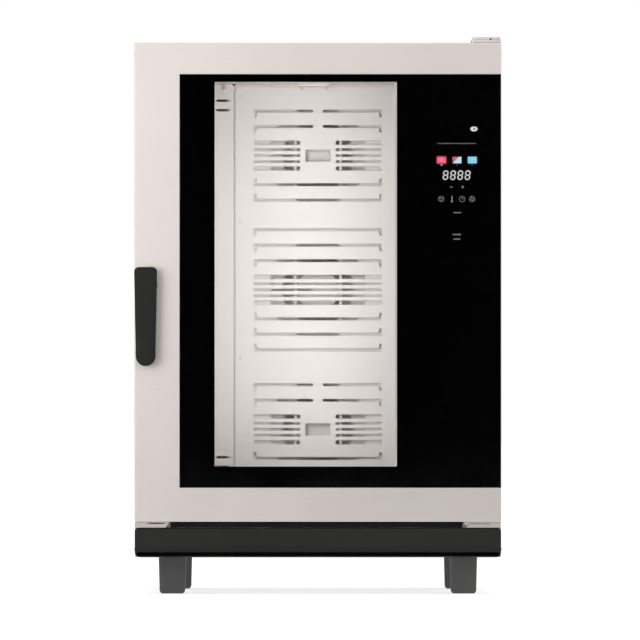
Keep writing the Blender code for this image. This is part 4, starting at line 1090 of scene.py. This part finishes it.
def top_cover():
    finish_node("top_panel", "top_steel", 0.0006)
    finish_node("flue", "zinc", 0.0003)
    finish_node("damper_flap", "zinc", 0.0003)
    finish_node("damper_motor", "black_plastic")
    z = TOP_HIGH.z
    low, high = TOP_LOW, TOP_HIGH
    places = [(x, y, z) for x in (low.x + 0.018, high.x - 0.018) for y in (-0.240, 0.050, 0.410)]
    places += [(x, y, z) for x in (-0.130, 0.130) for y in (low.y + 0.018, high.y - 0.018)]
    piece("top_screws", screws(places, (0, 0, 1)), "cabinet", "bolt")
    beads = []
    for x0, x1 in ((-0.330, -0.130), (-0.100, 0.100)):
        for y0, y1 in ((-0.270, -0.020), (0.010, 0.370)):
            outer = round_corners(rectangle((x0, y0), (x1, y1)), 0.014)
            inner = round_corners(rectangle((x0 + 0.004, y0 + 0.004), (x1 - 0.004, y1 - 0.004)), 0.011)
            beads.append(plate([outer, inner], z - 0.0003, z + 0.0010, PLAN_VIEW, 0.0005))
    piece("top_beads", joined(*beads), "cabinet", "top_steel")
    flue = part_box("flue")
    x, y = (flue[0].x + flue[1].x) / 2, (flue[0].y + flue[1].y) / 2
    radius = (flue[1].x - flue[0].x) / 2
    collar = turned([(radius + 0.0004, z + HAIR), (radius + 0.018, z + HAIR), (radius + 0.018, z + 0.0014),
                     (radius + 0.0040, z + 0.0022), (radius + 0.0012, z + 0.0070), (radius + 0.0004,
                                                                                    z + 0.0070)],
                    "Z", (x, y), 56)
    piece("flue_collar", collar, "cabinet", "zinc")
    ring_z = z + 0.0014
    places = [(x + (radius + 0.012) * cos(a), y + (radius + 0.012) * sin(a), ring_z)
              for a in [tau * i / 4 + pi / 4 for i in range(4)]]
    piece("flue_collar_screws", screws(places, (0, 0, 1), 0.0034, 0.0018), "cabinet", "bolt")
    rim = turned([(radius - 0.0016, flue[1].z - 0.0030), (radius + 0.0010, flue[1].z - 0.0030),
                  (radius + 0.0016, flue[1].z - 0.0012), (radius + 0.0006, flue[1].z), (radius - 0.0010,
                                                                                        flue[1].z)],
                 "Z", (x, y), 56)
    piece("flue_rim", rim, "cabinet", "zinc")


def back_cover():
    finish_node("back_panel", "side_steel", 0.0005)
    finish_node("base_tray", "zinc", 0.0010)
    finish_node("drain_pipe", "zinc", 0.0004)
    finish_node("water_valve", "brass", 0.0006)
    finish_node("cable_gland", "black_plastic", 0.0006)
    finish_node("cooling_fan_frame", "black_plastic", 0.0005)
    finish_node("cooling_fan_rotor", "black_plastic", 0.0003)
    finish_node("power_board", "board", 0.0006)
    finish_node("contactor", "black_plastic", 0.0010)
    y = BACK_HIGH.y
    low, high = BACK_LOW, BACK_HIGH
    places = [(x, y, z) for x in (low.x + 0.016, high.x - 0.016) for z in (low.z + 0.020, 0.350, 0.620, 0.880,
                                                                         high.z - 0.020)]
    places += [(x, y, z) for x in (-0.130, 0.130) for z in (low.z + 0.020, high.z - 0.020)]
    piece("back_screws", screws(places, (0, 1, 0)), "cabinet", "bolt")
    rows = [((column, y - 0.0002, 0.904 + i * 0.024), 0.038, 0.011) for column in (-0.205,
                                                                                   0.205) for i in range(5)]
    piece("back_louvres", louvres(rows, (0, 1, 0), (1, 0, 0), (0, 0, 1), 0.0055), "cabinet", "side_steel")

    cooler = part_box("cooling_fan_frame")
    x, z = (cooler[0].x + cooler[1].x) / 2, (cooler[0].z + cooler[1].z) / 2
    guard_y = y + 0.0035
    rings = [[(x + r * cos(tau * i / 48), guard_y, z + r * sin(tau * i / 48)) for i in range(48)]
             for r in (0.0105, 0.0180, 0.0255, 0.0330, 0.0385)]
    spokes = [[(x + 0.0105 * cos(a), guard_y - 0.0012, z + 0.0105 * sin(a)),
               (x + 0.0440 * cos(a), guard_y - 0.0012, z + 0.0440 * sin(a)),
               (x + 0.0460 * cos(a), y + 0.0008, z + 0.0460 * sin(a))] for a in
              [pi / 4 + i * pi / 2 for i in range(4)]]
    guard = joined(wire(rings, 0.0010, True), wire(spokes, 0.0011))
    piece("finger_guard", guard, "cabinet", "bolt")
    places = [(x + 0.0455 * cos(a), y + 0.0012,
               z + 0.0455 * sin(a)) for a in [pi / 4 + i * pi / 2 for i in range(4)]]
    piece("finger_guard_screws", screws(places, (0, 1, 0), 0.0040, 0.0020), "cabinet", "bolt")

    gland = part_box("cable_gland")
    gx, gz = (gland[0].x + gland[1].x) / 2, (gland[0].z + gland[1].z) / 2
    nut = [circle(gx, gz, 0.0196, 6, pi / 6), circle(gx, gz, 0.0172, 40)]
    piece("gland_nut", plate(nut, y + HAIR, y + 0.0062, edge=0.0006), "cabinet", "black_plastic")
    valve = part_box("water_valve")
    vx = (valve[0].x + valve[1].x) / 2
    vz = gz
    nut = [circle(vx, vz, 0.0185, 6), circle(vx, vz, 0.0137, 40)]
    piece("inlet_union_nut", plate(nut, y + HAIR, y + 0.0056, edge=0.0006), "cabinet", "brass")
    threads = []
    for i in range(4):
        h = y + 0.0066 + i * 0.0016
        threads.append(turned([(0.0134, h), (0.0141, h + 0.0005), (0.0134, h + 0.0010)], "Y", (vx, vz), 40))
    piece("inlet_threads", joined(*threads), "cabinet", "brass")

    dx, dz, radius = DRAIN_X, DRAIN_Z, DRAIN_RADIUS
    collar = turned([(radius + 0.0004, y + HAIR), (radius + 0.0110, y + HAIR), (radius + 0.0110, y + 0.0012),
                     (radius + 0.0030, y + 0.0020), (radius + 0.0012, y + 0.0060), (radius + 0.0004,
                                                                                    y + 0.0060)],
                    "Y", (dx, dz), 56)
    piece("drain_collar", collar, "cabinet", "rubber")
    lug = turned([(0.0, y + HAIR), (0.0075, y + HAIR), (0.0075, y + 0.0016), (0.0042, y + 0.0016),
                  (0.0042, y + 0.0105), (0.0, y + 0.0105)], "Y", (0.225, 0.120), 30)
    nut = plate([circle(0.225, 0.120, 0.0072, 6)], y + 0.0018, y + 0.0062, edge=0.0005)
    piece("bonding_stud", joined(lug, nut), "cabinet", "brass")
    blank = plate([round_corners(rectangle((-0.060, 0.560), (0.060, 0.640)), 0.004)], y + HAIR, y + 0.0010,
                  edge=0.0003)
    piece("blank_plate", blank, "cabinet", "plate_blank")
    places = [(px, y + 0.0010, pz) for px in (-0.054, 0.054) for pz in (0.566, 0.634)]
    piece("blank_plate_rivets", screws(places, (0, 1, 0), 0.0022, 0.0012), "cabinet", "bolt")
    outer = round_corners(rectangle((-0.300, 0.400), (0.300, 0.840)), 0.016)
    inner = round_corners(rectangle((-0.296, 0.404), (0.296, 0.836)), 0.013)
    piece("back_bead", plate([outer, inner], y - 0.0003, y + 0.0010, edge=0.0005), "cabinet", "side_steel")


# ---------------------------------------------------------------- stage, lights and camera
def stage():
    bm = bmesh.new()
    bmesh.ops.create_grid(bm, x_segments=2, y_segments=2, size=150.0)
    floor = link("studio_floor", to_mesh(bm))
    look = Finish("studio_paper", (0.90, 0.90, 0.90), 0.9)
    look.set("Specular IOR Level", 0.0)
    look.set("Emission Color", (1.0, 1.0, 1.0, 1.0))
    look.set("Emission Strength", 0.50)
    look.tone(look.noise(0.6), (0.885, 0.885, 0.885), 0.5)
    floor.data.materials.append(look.mat)


def mirror_card():
    """A black card far behind the camera, seen only in mirrors, which keeps the black glass black."""
    card = link("mirror_card", plate([rectangle((-3.0, 0.01), (3.0, 2.4))], DOOR_FRONT - 24.05,
                                     DOOR_FRONT - 24.0))
    look = Finish("black_card", (0.001, 0.001, 0.001), 0.9)
    look.set("Specular IOR Level", 0.0)
    look.tone(look.noise(3.0), (0.002, 0.002, 0.002), 0.5)
    card.data.materials.append(look.mat)
    card.visible_camera = card.visible_diffuse = card.visible_shadow = False


def floor_mat():
    """A grey mat in front of the oven, seen only in reflections, which keeps the glass dark from above."""
    corners = rectangle((-5.0, DOOR_FRONT - 10.0), (5.0, DOOR_FRONT - 0.4))
    mat = link("floor_mat", plate([corners], 0.002, 0.004, PLAN_VIEW, 0.0))
    look = Finish("grey_mat", (0.02, 0.02, 0.02), 0.9)
    look.set("Specular IOR Level", 0.0)
    look.set("Emission Color", (1.0, 0.98, 0.97, 1.0))
    look.set("Emission Strength", MAT_GLOW)
    look.tone(look.noise(3.0), (0.03, 0.03, 0.03), 0.5)
    mat.data.materials.append(look.mat)
    mat.visible_camera = mat.visible_diffuse = mat.visible_transmission = mat.visible_shadow = False


def world():
    """Even studio light with a small dark spot straight in front, so that the black glass stays black."""
    backdrop = bpy.data.worlds.new("studio")
    bpy.context.scene.world = backdrop
    backdrop.use_nodes = True
    nodes, links = backdrop.node_tree.nodes, backdrop.node_tree.links
    nodes.clear()
    way = nodes.new("ShaderNodeTexCoord").outputs["Generated"]

    def number(operation, a, b):
        node = nodes.new("ShaderNodeMath")
        node.operation = operation
        for socket, value in zip(node.inputs, (a, b)):
            if isinstance(value, float):
                socket.default_value = value
            else:
                links.new(value, socket)
        return node.outputs["Value"]

    split = nodes.new("ShaderNodeSeparateXYZ")
    links.new(way, split.inputs["Vector"])
    x, y, z = split.outputs
    front = number("MULTIPLY", y, -1.0)
    rise = number("MULTIPLY", number("MAXIMUM", z, 0.0), 0.34)
    ahead = number("MULTIPLY", number("MAXIMUM", front, 0.0), 0.50)
    left = number("MULTIPLY", x, -0.06)
    bright = number("ADD", number("ADD", rise, number("ADD", ahead, left)), 0.44)
    card = nodes.new("ShaderNodeMapRange")
    card.inputs["From Min"].default_value = cos(radians(6.0))
    card.inputs["From Max"].default_value = cos(radians(3.5))
    card.inputs["To Min"].default_value = 1.0
    card.inputs["To Max"].default_value = 0.02
    links.new(front, card.inputs["Value"])
    bright = number("MULTIPLY", bright, card.outputs["Result"])
    studio = nodes.new("ShaderNodeBackground")
    links.new(bright, studio.inputs["Strength"])
    studio.inputs["Color"].default_value = (1.0, 0.985, 0.975, 1.0)
    white = nodes.new("ShaderNodeBackground")
    white.inputs["Color"].default_value = (1.0, 1.0, 1.0, 1.0)
    white.inputs["Strength"].default_value = 1.02
    path = nodes.new("ShaderNodeLightPath")
    mix = nodes.new("ShaderNodeMixShader")
    links.new(path.outputs["Is Camera Ray"], mix.inputs["Fac"])
    links.new(studio.outputs["Background"], mix.inputs[1])
    links.new(white.outputs["Background"], mix.inputs[2])
    output = nodes.new("ShaderNodeOutputWorld")
    links.new(mix.outputs["Shader"], output.inputs["Surface"])


def area_light(name, place, target, size, power, colour=(1.0, 0.97, 0.94), reflected=True):
    lamp = bpy.data.lights.new(name, "AREA")
    lamp.shape = "RECTANGLE"
    lamp.size, lamp.size_y = size
    lamp.energy = power
    lamp.color = colour
    obj = link(name, lamp)
    obj.location = place
    obj.rotation_euler = (Vector(target) - Vector(place)).to_track_quat("-Z", "Y").to_euler()
    obj.visible_camera = False
    obj.visible_glossy = reflected
    return obj


def lights():
    area_light("key_light", (-1.6, -3.5, 0.9), (0.0, -0.4, 0.6), (1.6, 1.6), 13)
    area_light("fill_light", (3.4, -3.2, 1.8), (0.0, 0.0, 0.6), (2.0, 2.4), 10)
    area_light("rear_light", (2.6, 4.2, 2.6), (0.0, 0.0, 0.6), (2.4, 2.4), 14)
    area_light("top_light", (-0.3, 0.2, 4.0), (0.0, 0.0, 1.0), (3.0, 3.0), 10)
    area_light("oven_lamp", (-0.09, -0.290, 0.690), (-0.06, 0.2, 0.660), (0.26, 0.72), 3.7,
               (1.0, 0.985, 0.975), False)


def camera():
    view = bpy.data.cameras.new("front_camera")
    view.sensor_width = 36.0
    view.lens = 543.2
    view.clip_end = 400.0
    obj = link("front_camera", view)
    obj.location = (0.0043, DOOR_FRONT - 20.0, 0.350)
    target = Vector((0.0043, DOOR_FRONT, 0.568))
    obj.rotation_euler = (target - obj.location).to_track_quat("-Z", "Y").to_euler()
    bpy.context.scene.camera = obj
    bpy.context.scene.view_settings.view_transform = "Standard"


door_skin()
glass_and_print()
panel_keys()
panel_figures()
panel_icons()
handle()
door_inside()
brackets()
front_bar()
feet()
baffle()
wings()
gasket()
racks()
cavity()
side_panels()
top_cover()
back_cover()
stage()
mirror_card()
floor_mat()
world()
lights()
camera()
